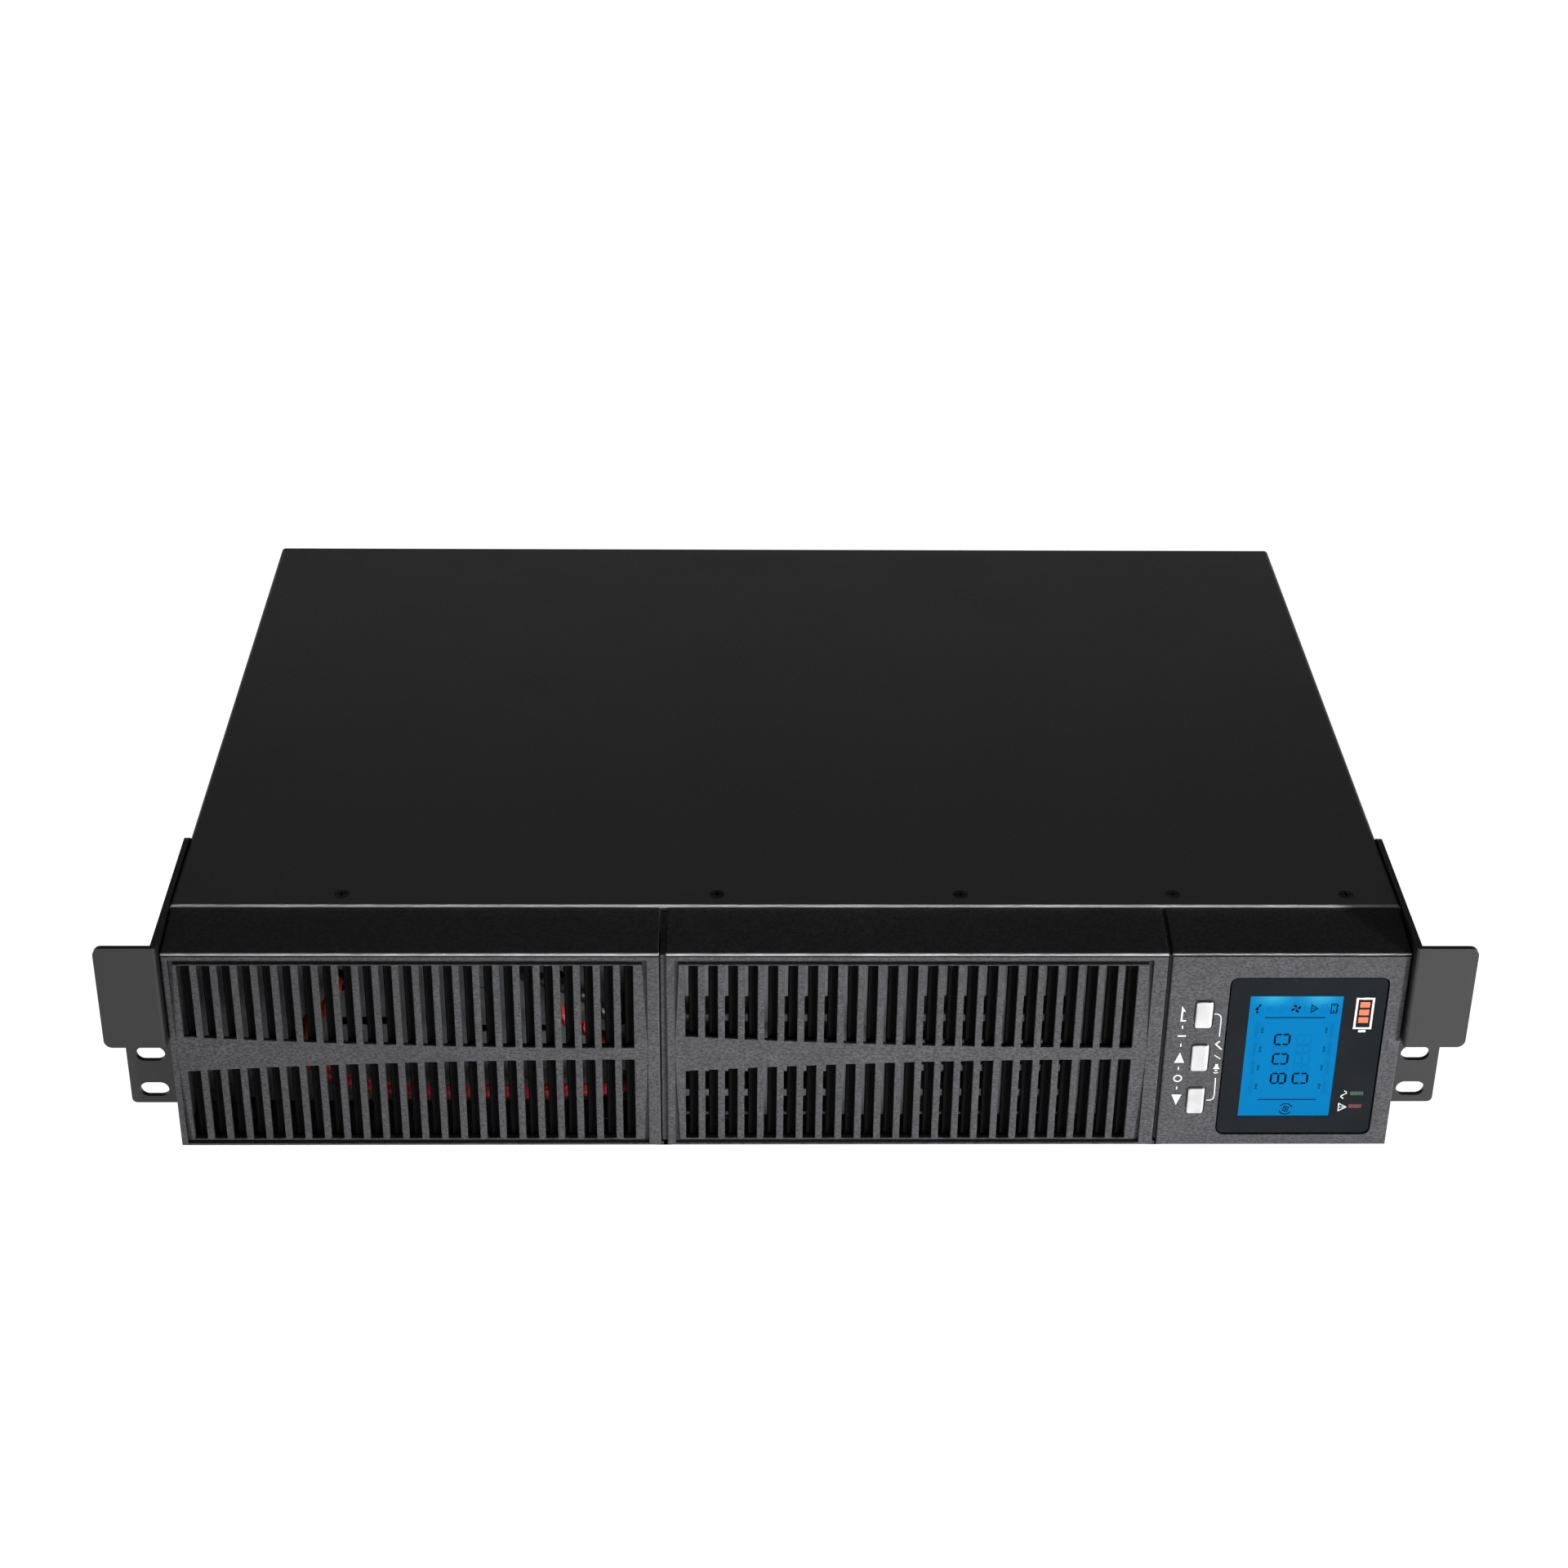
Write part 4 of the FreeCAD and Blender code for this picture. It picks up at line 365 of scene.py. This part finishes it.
def circuit_board(name):
    """Green solder mask over copper tracks, with small vias."""
    f = Finish(name, Roughness=0.38)
    track_share = f.levels(f.cells(5.2, "CHEBYCHEV"), 0.42, 0.44, 0.0, 1.0)
    base = f.tint(track_share, rgb("12402a"), rgb("1d6a42"))
    via_share = f.levels(f.cells(3.4), 0.10, 0.12, 1.0, 0.0)
    base = f.tint(via_share, base, rgb("b8a468"))
    f.drive("Base Color", base)
    f.drive("Roughness", f.levels(f.noise(1.5, 2.0), 0.3, 0.7, 0.30, 0.45))
    return f.relief(track_share, 0.03, 0.5).material


def laminations(name):
    """A stack of thin varnished steel sheets."""
    f = Finish(name, Metallic=0.55)
    sheets = f.waves(0.5, "Y")
    base = f.tint(f.levels(sheets, 0.0, 0.35, 0.0, 1.0), rgb("1c1a18"), rgb("56504a"))
    f.drive("Base Color", f.tint(f.levels(f.noise(8.0, 3.0), 0.5, 0.72, 0.0, 0.6), base, rgb("6a4a32")))
    f.drive("Roughness", f.levels(f.noise(2.0, 2.0), 0.3, 0.7, 0.42, 0.6))
    return f.relief(sheets, 0.06, 0.7).material


def winding_tape(name):
    """Dark varnished tape round a coil, with its overlapping edges and creases."""
    f = Finish(name, Roughness=0.32)
    laps = f.waves(6.0, "Z", 0.6)
    base = f.tint(f.levels(laps, 0.0, 0.12, 0.0, 1.0), rgb("1c140c"), rgb("33261a"))
    f.drive("Base Color", f.tint(f.levels(f.noise(3.0, 3.0), 0.4, 0.7, 0.0, 0.4), base, rgb("2a2018")))
    return f.relief(f.sum(laps, f.noise(1.5, 3.0)), 0.08, 0.5).material


def ribbed_flat_cable(name):
    """Grey ribbon cable: one rib to each wire, with painted shade darkening the grooves between them."""
    f = Finish(name, Roughness=0.45)
    ribs = f.waves(1.27, "X")
    # painted shade: lighter on the rib crests, darker in the grooves between them
    f.drive("Base Color", f.tint(ribs, rgb("6f7174"), rgb("a2a4a6")))
    return f.relief(ribs, 0.3, 0.8).material


def cast_lens(name, dark, light):
    """A small lens over an unlit lamp, with its diffusing ribs."""
    f = Finish(name, Roughness=0.22, Coat_Weight=0.5, Coat_Roughness=0.08)
    ribs = f.waves(0.45, "X")
    base = f.tint(f.levels(f.noise(1.6, 2.0), 0.3, 0.7, 0.0, 1.0), rgb(dark), rgb(light))
    f.drive("Base Color", f.tint(f.levels(ribs, 0.0, 1.0, 0.0, 0.3), base, rgb(dark)))
    return f.relief(ribs, 0.05, 0.4).material


def printed_ink(name, dark, light):
    """Screen printed ink, a little uneven, with tiny pinholes."""
    f = Finish(name)
    mix = f.levels(f.noise(0.3, 3.0), 0.35, 0.65, 0.0, 1.0)
    f.drive("Base Color", f.tint(mix, rgb(dark), rgb(light)))
    f.drive("Roughness", f.levels(f.noise(0.8, 2.0), 0.3, 0.7, 0.45, 0.62))
    return f.relief(f.noise(0.35, 2.0), 0.008, 0.4).material


def lcd_segment(name, dark, light, glow):
    """A segment of the display, lit from behind as strongly as its glow lets through."""
    f = Finish(name, Roughness=0.3, Emission_Strength=glow, Specular_IOR_Level=0.02)
    base = f.tint(f.levels(f.noise(0.8, 2.0), 0.3, 0.7, 0.0, 1.0), rgb(dark), rgb(light))
    f.drive("Emission Color", base)
    mix = f.levels(f.noise(2.0), 0.3, 0.7, 0.0, 1.0)
    f.drive("Base Color", f.tint(mix, rgb("020a12"), rgb("04101c")))
    return f.material


BEZEL_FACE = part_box("control_bezel")[0].y
COVER_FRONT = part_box("top_cover")[0].y
BEZEL_HIGHLIGHT_BAND = (82.75 * MM, 83.75 * MM)      # heights between which the bezels' upper front edge gets a painted highlight

# Each material slot of the CAD nodes, by name.
FINISHES = {
    "cover_paint": powder_coat("satin_black_coat", "3e3e3e", "4e4e4e", highlight_front=COVER_FRONT),
    "ear_paint": powder_coat("ear_black_coat", "1b191b", "242224", dusty=False),
    "zinc_steel": rolled_metal("zinc_plate", "85888b", "a0a3a6", 0.36),
    "black_screw": rolled_metal("black_oxide", "232325", "6e6e72", 0.26, "none"),
    "bright_screw": rolled_metal("nickel_screw", "a8a6a0", "d4d2cc", 0.24, "none"),
    "bezel_plastic": moulded_grain("charcoal_grain", "202022", "4c4c50", 0.68, 0.10,
                                   highlight_band=BEZEL_HIGHLIGHT_BAND, shade_behind=BEZEL_FACE),
    "black_plastic": moulded_grain("black_insert", "040404", "080808", 0.6, 0.02, 0.75, 0.07),
    "gloss_black": black_gloss("display_surround"),
    "lcd_blue": lcd_glass("lit_display"),
    "white_plastic": smooth_plastic("nylon_white", "c4c3bb", "dedcd4", 0.42),
    "button_silver": smooth_plastic("silver_key", "b0b0b0", "c0c0c1", 0.34, Specular_IOR_Level=0.3),
    "lens_green": cast_lens("green_lens", "0b3021", "164a32"),
    "lens_red": cast_lens("red_lens", "3c0a0d", "6a1416"),
    "board_green": circuit_board("solder_mask"),
    "component_black": smooth_plastic("epoxy_black", "141415", "202022", 0.5),
    "ribbon_grey": ribbed_flat_cable("flat_cable"),
    "battery_case": moulded_grain("battery_grain", "303236", "46484d", 0.8, 0.06, 0.5),
    "terminal_metal": rolled_metal("tinned_tab", "a9a7a0", "cfcdc6", 0.3, "none"),
    "lead_red": smooth_plastic("red_sleeve", "b0282b", "d03a3c", 0.36),
    "lead_black": smooth_plastic("black_sleeve", "0c0c0c", "161616", 0.36),
    "core_steel": laminations("core_sheets"),
    "coil_tape": winding_tape("coil_tape"),
    "aluminium_sink": rolled_metal("extruded_fins", "8f9193", "b4b6b8", 0.33, "y"),
    "can_sleeve": smooth_plastic("shrink_sleeve", "101a3a", "18244c", 0.26),
    "choke_core": smooth_plastic("copper_turns", "7a3514", "a84c1e", 0.22, Metallic=0.6),
    "fan_plastic": smooth_plastic("fan_black", "101011", "1a1a1b", 0.4),
    "guard_chrome": rolled_metal("plated_wire", "b8b8b6", "dcdcda", 0.16, "none"),
    "socket_black": moulded_grain("socket_black", "0e0e0f", "18181a", 0.5, 0.02, 0.46),
    "pin_brass": rolled_metal("plated_pin", "b9a066", "d9c48c", 0.22, "none"),
    "socket_green": smooth_plastic("terminal_green", "1f7a35", "2a9444", 0.38),
    "shell_tin": rolled_metal("tin_shell", "9c9c98", "c6c6c2", 0.28, "none"),
}

INK_WHITE = printed_ink("white_ink", "c9c9c9", "e6e6e6")
INK_ORANGE = printed_ink("orange_ink", "e05a38", "f0714c")
LCD_DARK = lcd_segment("segment_on", "010810", "030f1c", 0.25)
LCD_GHOST = lcd_segment("segment_off", "007abd", "0080c4", 0.95)


def dress_cad_nodes():
    for node in NODES.values():
        for place in node.material_slots:
            place.material = FINISHES[place.material.name]


# ---- flat marks: ink and display segments ----------------------------------------------------
class Marks:
    """Flat shapes facing the front, joined in one mesh. Points are (x, z) and widths are in mm."""

    def __init__(self):
        self.mesh = bmesh.new()

    def corner(self, point):
        return self.mesh.verts.new((point[0] * MM, 0, point[1] * MM))

    def face(self, points):
        self.mesh.faces.new([self.corner(p) for p in points])

    def stroke(self, points, width, closed=False):
        """A line of even width with mitred corners."""
        path = [Vector(p) for p in points]
        count = len(path)
        sides = []
        for i, here in enumerate(path):
            before = path[i - 1] if closed or i else None
            after = path[(i + 1) % count] if closed or i < count - 1 else None
            into = (here - before).normalized() if before is not None else (after - here).normalized()
            out = (after - here).normalized() if after is not None else into
            lean = (into + out).normalized()
            side = Vector((-lean.y, lean.x)) * (width / 2 / max(SHARPEST_MITRE, lean.dot(into)))
            sides.append([self.corner(p) for p in (here - side, here + side)])
        pairs = zip(sides, sides[1:] + sides[:1]) if closed else zip(sides, sides[1:])
        for (a, b), (c, d) in pairs:
            self.mesh.faces.new((a, b, d, c))

    def arc(self, centre, radius, start, end, width):
        """Part of a ring, or all of it, between two angles in degrees."""
        turns = [math.radians(start + (end - start) * i / ARC_STEPS) for i in range(ARC_STEPS + 1)]
        points = on_circle(centre, radius, turns)
        full = abs(end - start) >= 359
        self.stroke(points[:-1] if full else points, width, closed=full)

    def sign(self, centre, points, width=None, closed=False):
        """A symbol drawn round its centre: a line of the given width, or a filled shape without one."""
        if width is None:
            self.face(turned(centre, points))
        else:
            self.stroke(turned(centre, points), width, closed)

    def piece(self, name, front, depth, finish, slot):
        """Ends the mesh: its faces stand at y = front, and it is depth thick behind them (metres)."""
        back = bmesh.ops.extrude_face_region(self.mesh, geom=self.mesh.faces[:])
        moved = [v for v in back["geom"] if isinstance(v, bmesh.types.BMVert)]
        bmesh.ops.translate(self.mesh, verts=moved, vec=(0, depth, 0))
        bmesh.ops.recalc_face_normals(self.mesh, faces=self.mesh.faces[:])
        bmesh.ops.translate(self.mesh, verts=self.mesh.verts[:], vec=(0, front, 0))
        data = bpy.data.meshes.new(name)
        self.mesh.to_mesh(data)
        self.mesh.free()
        data.materials.append(finish)
        made = bpy.data.objects.new(name, data)
        bpy.context.scene.collection.objects.link(made)
        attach(made, "chassis")


def turned(centre, points, size=1.0):
    """Symbol points in mm, read with the unit stood on its side: up in the symbol is +x here."""
    return [(centre[0] + v * size, centre[1] - u * size) for u, v in points]


def on_circle(centre, radius, turns):
    return [(centre[0] + radius * math.cos(t), centre[1] + radius * math.sin(t)) for t in turns]


def circle(radius, count=20, centre=(0, 0)):
    return on_circle(centre, radius, [math.tau * i / count for i in range(count)])


def block(u0, u1, v0, v1):
    """A rectangle's corners, for a symbol."""
    return [(u0, v0), (u1, v0), (u1, v1), (u0, v1)]


ARC_STEPS = 14
SHARPEST_MITRE = 0.35          # a mitre reaches out no further than its line's half width over this
INK = 0.03 * MM                # how thick ink and display segments are, in metres
HAIR, FINE, LINE, BOLD = 0.3, 0.34, 0.4, 0.6      # widths of lines, mm
FRAME_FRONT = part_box("display_frame")[0].y
LCD_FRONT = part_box("lcd_panel")[0].y

# Signs beside the keys, in mm: the column left of the keys, and the column on the line that joins two.
LEFT_X, LINK_X = 140.65, 154.2
DASH_HEIGHTS = (52.4, 44.6, 34.4, 25.75)
ON_HEIGHT, OFF_HEIGHT = 48.6, 30.0
TICK_HEIGHT, SLASH_HEIGHT, SPEAKER_HEIGHT = 44.6, 39.4, 34.4
RETURN_ARROW = [(139.62, 54.9), (141.65, 54.9), (141.6, 55.5), (140.3, 55.5), (140.35, 59.1),
                (141.3, 59.1), (139.75, 61.6)]
UP_ARROW = [(138.85, 36.9), (142.4, 36.9), (140.6, 41.4)]
DOWN_ARROW = [(139.0, 22.8), (140.9, 18.3), (142.6, 22.8)]
LINK_UPPER = [(151.5, 58.1), (152.6, 58.1), (153.4, 57.7), (153.9, 56.9), (154.1, 55.7), (154.1, 48.4)]
LINK_LOWER = [(154.3, 30.2), (154.5, 23.0), (154.4, 21.6), (154.0, 20.8), (153.2, 20.35), (151.8, 20.3)]
SPEAKER = [(-1.9, -0.5), (-0.9, -0.5), (0.3, -1.25), (0.3, 1.25), (-0.9, 0.5), (-1.9, 0.5)]


def key_marks():
    """White signs left of the keys: return, on, up, off and down. Right of them a line joins two keys,
    and a tick, a slash and a speaker stand in its gap for test and mute."""
    m = Marks()
    for shape in (RETURN_ARROW, UP_ARROW, DOWN_ARROW):
        m.face(shape)
    for z in DASH_HEIGHTS:
        m.sign((LEFT_X - 0.05, z), [(-0.65, 0), (0.65, 0)], 0.42)
    m.sign((LEFT_X, ON_HEIGHT), [(0, -1.45), (0, 1.45)], BOLD)
    m.sign((LEFT_X, OFF_HEIGHT), circle(1.35), 0.5, closed=True)
    for path in (LINK_UPPER, LINK_LOWER):
        m.stroke(path, LINE)
    m.sign((LINK_X, TICK_HEIGHT), [(-1.8, 0.2), (-0.4, -1.1), (1.9, 1.2)], 0.55)
    m.sign((LINK_X, SLASH_HEIGHT), [(-0.8, -1.1), (0.8, 1.1)], LINE)
    m.sign((LINK_X, SPEAKER_HEIGHT), SPEAKER)
    for u in (1.1, 2.1):
        m.sign((LINK_X, SPEAKER_HEIGHT), [(u - 0.35, -0.4 * u), (u, 0), (u - 0.35, 0.4 * u)], 0.36)
    m.piece("key_marks", BEZEL_FACE - INK, INK, INK_WHITE, "white_plastic")


MAINS_SIGN, FAULT_SIGN = (201.55, 22.5), (201.35, 16.9)
WAVE_REACH, WAVE_STEPS = 1.65, 6


def lamp_marks():
    """White signs beside the two lamps: a wave for mains and a triangle for a fault."""
    m = Marks()
    wave = [(u / WAVE_STEPS * WAVE_REACH, -math.sin(math.pi * u / WAVE_STEPS))
            for u in range(-WAVE_STEPS, WAVE_STEPS + 1)]
    m.sign(MAINS_SIGN, wave, LINE)
    m.sign(FAULT_SIGN, [(-1.65, -1.15), (1.65, -1.15), (0, 1.55)], 0.36, closed=True)
    m.sign(FAULT_SIGN, [(0, -0.35), (0, 0.7)], FINE)
    m.sign(FAULT_SIGN, [(0, -0.85), (0, -0.6)], FINE)
    m.piece("lamp_marks", FRAME_FRONT - INK, INK, INK_WHITE, "white_plastic")


BATTERY_SIGN = (204.9, 57.6)
LEVEL_STARTS, LEVEL_LONG = (-5.4, -2.1, 1.2), 2.4


def corner_sign():
    """A plain battery sign at the top of the display surround, drawn white with an orange level."""
    shell = Marks()
    shell.sign(BATTERY_SIGN, block(-6.8, 5.9, -2.9, 2.9), 0.8, closed=True)
    shell.sign(BATTERY_SIGN, block(6.7, 7.7, -1.3, 1.3)[::-1])
    shell.piece("battery_sign_shell", FRAME_FRONT - INK, INK, INK_WHITE, "white_plastic")
    level = Marks()
    for u in LEVEL_STARTS:
        level.sign(BATTERY_SIGN, block(u, u + LEVEL_LONG, -1.75, 1.75)[::-1])
    level.piece("battery_sign_level", FRAME_FRONT - INK, INK, INK_ORANGE, "lens_red")


# One digit's seven bars, as (start, end) in units of half its width and half its height.
BARS = {"top": ((-1, 1), (1, 1)), "upper_left": ((-1, 1), (-1, 0)), "upper_right": ((1, 1), (1, 0)),
        "middle": ((-1, 0), (1, 0)), "lower_left": ((-1, 0), (-1, -1)), "lower_right": ((1, 0), (1, -1)),
        "bottom": ((-1, -1), (1, -1))}
ALL_BARS = sorted(BARS)
ZERO_BARS = [b for b in ALL_BARS if b != "middle"]


def digit(marks, centre, half_w, half_h, bars, width):
    """Seven-bar digit: each bar is a long hexagon with pointed ends."""
    for bar in bars:
        (u0, v0), (u1, v1) = BARS[bar]
        start, end = Vector((u0 * half_w, v0 * half_h)), Vector((u1 * half_w, v1 * half_h))
        along = (end - start).normalized()
        side = Vector((-along.y, along.x)) * width / 2
        start, end = start + along * width * 0.2, end - along * width * 0.2
        tip = along * width / 2
        marks.sign(centre, [start, start + tip + side, end - tip + side, end, end - tip - side,
                            start + tip - side])


# Places on the display, in mm. A lit digit is (centre, bars), an unlit one (centre, half width).
LCD_DIGITS = [((176.9, 46.5), ZERO_BARS), ((177.0, 38.0), ZERO_BARS), ((177.1, 29.4), ALL_BARS),
              ((185.0, 29.4), ZERO_BARS)]
DIGIT_HALF_W, DIGIT_HALF_H = 2.15, 2.62
GHOST_DIGITS = [((184.7, 46.5), 2.1), ((184.8, 38.0), 2.1), ((184.75, 42.3), 1.3), ((184.9, 33.8), 1.3),
                ((176.95, 42.3), 1.3), ((177.05, 33.8), 1.3)]
RULES = ((169.9, 191.3, 56.0), (170.5, 191.8, 20.0))         # from x, to x, at z
RULE_HALF = 0.23
GAUGE_HEIGHTS = (50.5, 42.2, 34.1, 25.9)
GAUGE_X, SCALE_X = (167.4, 194.3), (169.4, 192.3)
SCALE_TICKS = ((-1.0, 0.45), (-0.35, 0.45), (0.3, 0.3), (0.85, 0.4))
GAUGE_ROUND, GAUGE_HALF = 0.72, 2.6
ICON_ROW, LOW_ROW = 59.9, 15.8
BATTERY_ICON, FAULT_ICON = (194.1, ICON_ROW), (187.0, ICON_ROW)
FAN_ICON, PLUG_ICON = (180.6, ICON_ROW), (166.8, ICON_ROW)
LOAD_ICON = (181.1, LOW_ROW)
GHOST_RINGS = (169.4, 173.1, 177.2, 185.5, 188.9, 192.8)
FAN_BLADE = [(0.15, -0.1), (1.0, -0.6), (1.75, -0.1), (1.55, 0.5), (0.9, 0.35)]
FAN_BLADES, FAN_LEAN, FAN_SIZE = 4, 0.4, 1.1


def blade_fan(marks, centre):
    for k in range(FAN_BLADES):
        a = math.tau * k / FAN_BLADES + FAN_LEAN
        cos, sin = math.cos(a), math.sin(a)
        loop = [(u * cos - v * sin, u * sin + v * cos) for u, v in FAN_BLADE]
        marks.face(turned(centre, loop, FAN_SIZE))


def lcd_ink():
    """What the display shows: dark digits and signs over the blue."""
    m = Marks()
    for centre, bars in LCD_DIGITS:
        digit(m, centre, DIGIT_HALF_W, DIGIT_HALF_H, bars, 0.78)
    for x0, x1, z in RULES:
        m.face(block(x0, x1, z - RULE_HALF, z + RULE_HALF))
    m.sign(BATTERY_ICON, block(-1.9, 1.9, -1.0, 1.0), LINE, closed=True)
    for line in ([(-1.2, -0.4), (-1.2, 0.4)], [(0.8, 0), (1.5, 0)], [(1.15, -0.35), (1.15, 0.35)]):
        m.sign(BATTERY_ICON, line, FINE)
    for u in (-1.0, 1.0):
        m.sign(BATTERY_ICON, [(u - 0.35, 1.3), (u + 0.35, 1.3)], LINE)
    m.sign(FAULT_ICON, [(-1.6, -0.9), (1.6, -0.9), (0, 1.2)], 0.36, closed=True)
    m.sign(FAULT_ICON, [(0, -0.5), (0, 0.4)], FINE)
    blade_fan(m, FAN_ICON)
    m.sign(PLUG_ICON, circle(0.5, 10, (1.6, 0.05))[::-1])
    m.sign(PLUG_ICON, circle(0.45, 10, (-1.45, 0.9))[::-1])
    m.sign(PLUG_ICON, [(0.5, -0.9), (0.9, 0.0), (0.1, 0.5), (-0.6, -0.2)])
    m.sign(PLUG_ICON, [(0.0, 0.0), (-1.3, 0.8)], LINE)
    for start in (20, 200):
        m.arc(LOAD_ICON, 2.35, start, start + 125, 0.42)
    m.sign(LOAD_ICON, [(-1.3, -0.5), (0.7, -1.1), (1.3, 0.5), (-0.7, 1.1)], FINE, closed=True)
    m.sign(LOAD_ICON, [(-0.7, 0.1), (0.7, -0.1)], BOLD)
    for x in SCALE_X:
        for z in GAUGE_HEIGHTS:
            for u, tall in SCALE_TICKS:
                m.sign((x, z), [(u, -tall), (u + 0.12, tall)], HAIR)
    m.piece("display_digits", LCD_FRONT - INK, INK, LCD_DARK, "component_black")


def lcd_ghosts():
    """Segments that are switched off: a shade darker than the field."""
    m = Marks()
    for centre, half_w in GHOST_DIGITS:
        digit(m, centre, half_w, DIGIT_HALF_H, ALL_BARS, 0.5)
    cap = on_circle((0, GAUGE_HALF), GAUGE_ROUND, [math.pi * i / 8 for i in range(9)])
    pill = cap + [(-a, -b) for a, b in cap]
    ring = [(a * 2.0, b + math.copysign(0.7, b)) for a, b in pill]
    for x in GAUGE_X:
        for z in GAUGE_HEIGHTS:
            m.face([(x + a, z + b) for a, b in pill])
            m.stroke([(x + a, z + b) for a, b in ring], 0.14, closed=True)
    for x in GHOST_RINGS:
        m.arc((x, LOW_ROW), 1.7, 0, 360, 0.2)
        m.sign((x, LOW_ROW), [(-0.6, -0.6), (0.6, 0.6)], LINE)
    m.sign((175.8, ICON_ROW), [(-1.5, -0.9), (1.5, -0.9), (0, 1.2)], 0.24, closed=True)
    m.sign((190.7, ICON_ROW), block(-1.5, 1.5, -0.9, 0.9), 0.24, closed=True)
    m.sign((171.1, ICON_ROW), [(-1.2, 0.8), (1.2, -0.8)], HAIR)
    m.sign((171.1, ICON_ROW), [(-1.0, -0.9), (0.9, 0.6)], HAIR)
    m.sign((183.5, ICON_ROW), [(-1.1, 0.0), (1.1, 0.0)], LINE)
    m.piece("display_ghosts", LCD_FRONT - INK / 2, INK / 2, LCD_GHOST, "lcd_blue")


SHADE_STRIP_REACH = (-2.4, 3.0)       # mm from the right-hand bezel's side
SHADE_STRIP_THICK, SHADE_STRIP_GAP, SHADE_STRIP_EDGE = 0.12, 0.02, 0.04


def seam_shade_strips():
    """A thin black sheet under each seam as painted shade at its foot, so that the lit table doesn't show
    through there.
    """
    front, back = BEZEL_FACE + 0.5 * MM, COVER_FRONT - 0.6 * MM
    for left, right in (("left_grille", "middle_grille"), ("middle_grille", "control_bezel")):
        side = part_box(right)[0].x / MM
        x0, x1 = (side + reach for reach in SHADE_STRIP_REACH)
        top = min(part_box(left)[0].z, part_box(right)[0].z) / MM - SHADE_STRIP_GAP
        low, e = top - SHADE_STRIP_THICK, SHADE_STRIP_EDGE
        seam = Marks()
        seam.face([(x0, low + e), (x0 + e, low), (x1 - e, low), (x1, low + e),
                   (x1, top - e), (x1 - e, top), (x0 + e, top), (x0, top - e)])
        # painted shade: a black sheet stands where the seam's foot is only in shade
        seam.piece("shade_strip_beside_" + left, front, back - front, FINISHES["black_plastic"], "black_plastic")


# ---- the scene ------------------------------------------------------------------------------
add_camera()
add_lights()
add_stage()
dress_cad_nodes()
key_marks()
lamp_marks()
corner_sign()
lcd_ghosts()
lcd_ink()
seam_shade_strips()
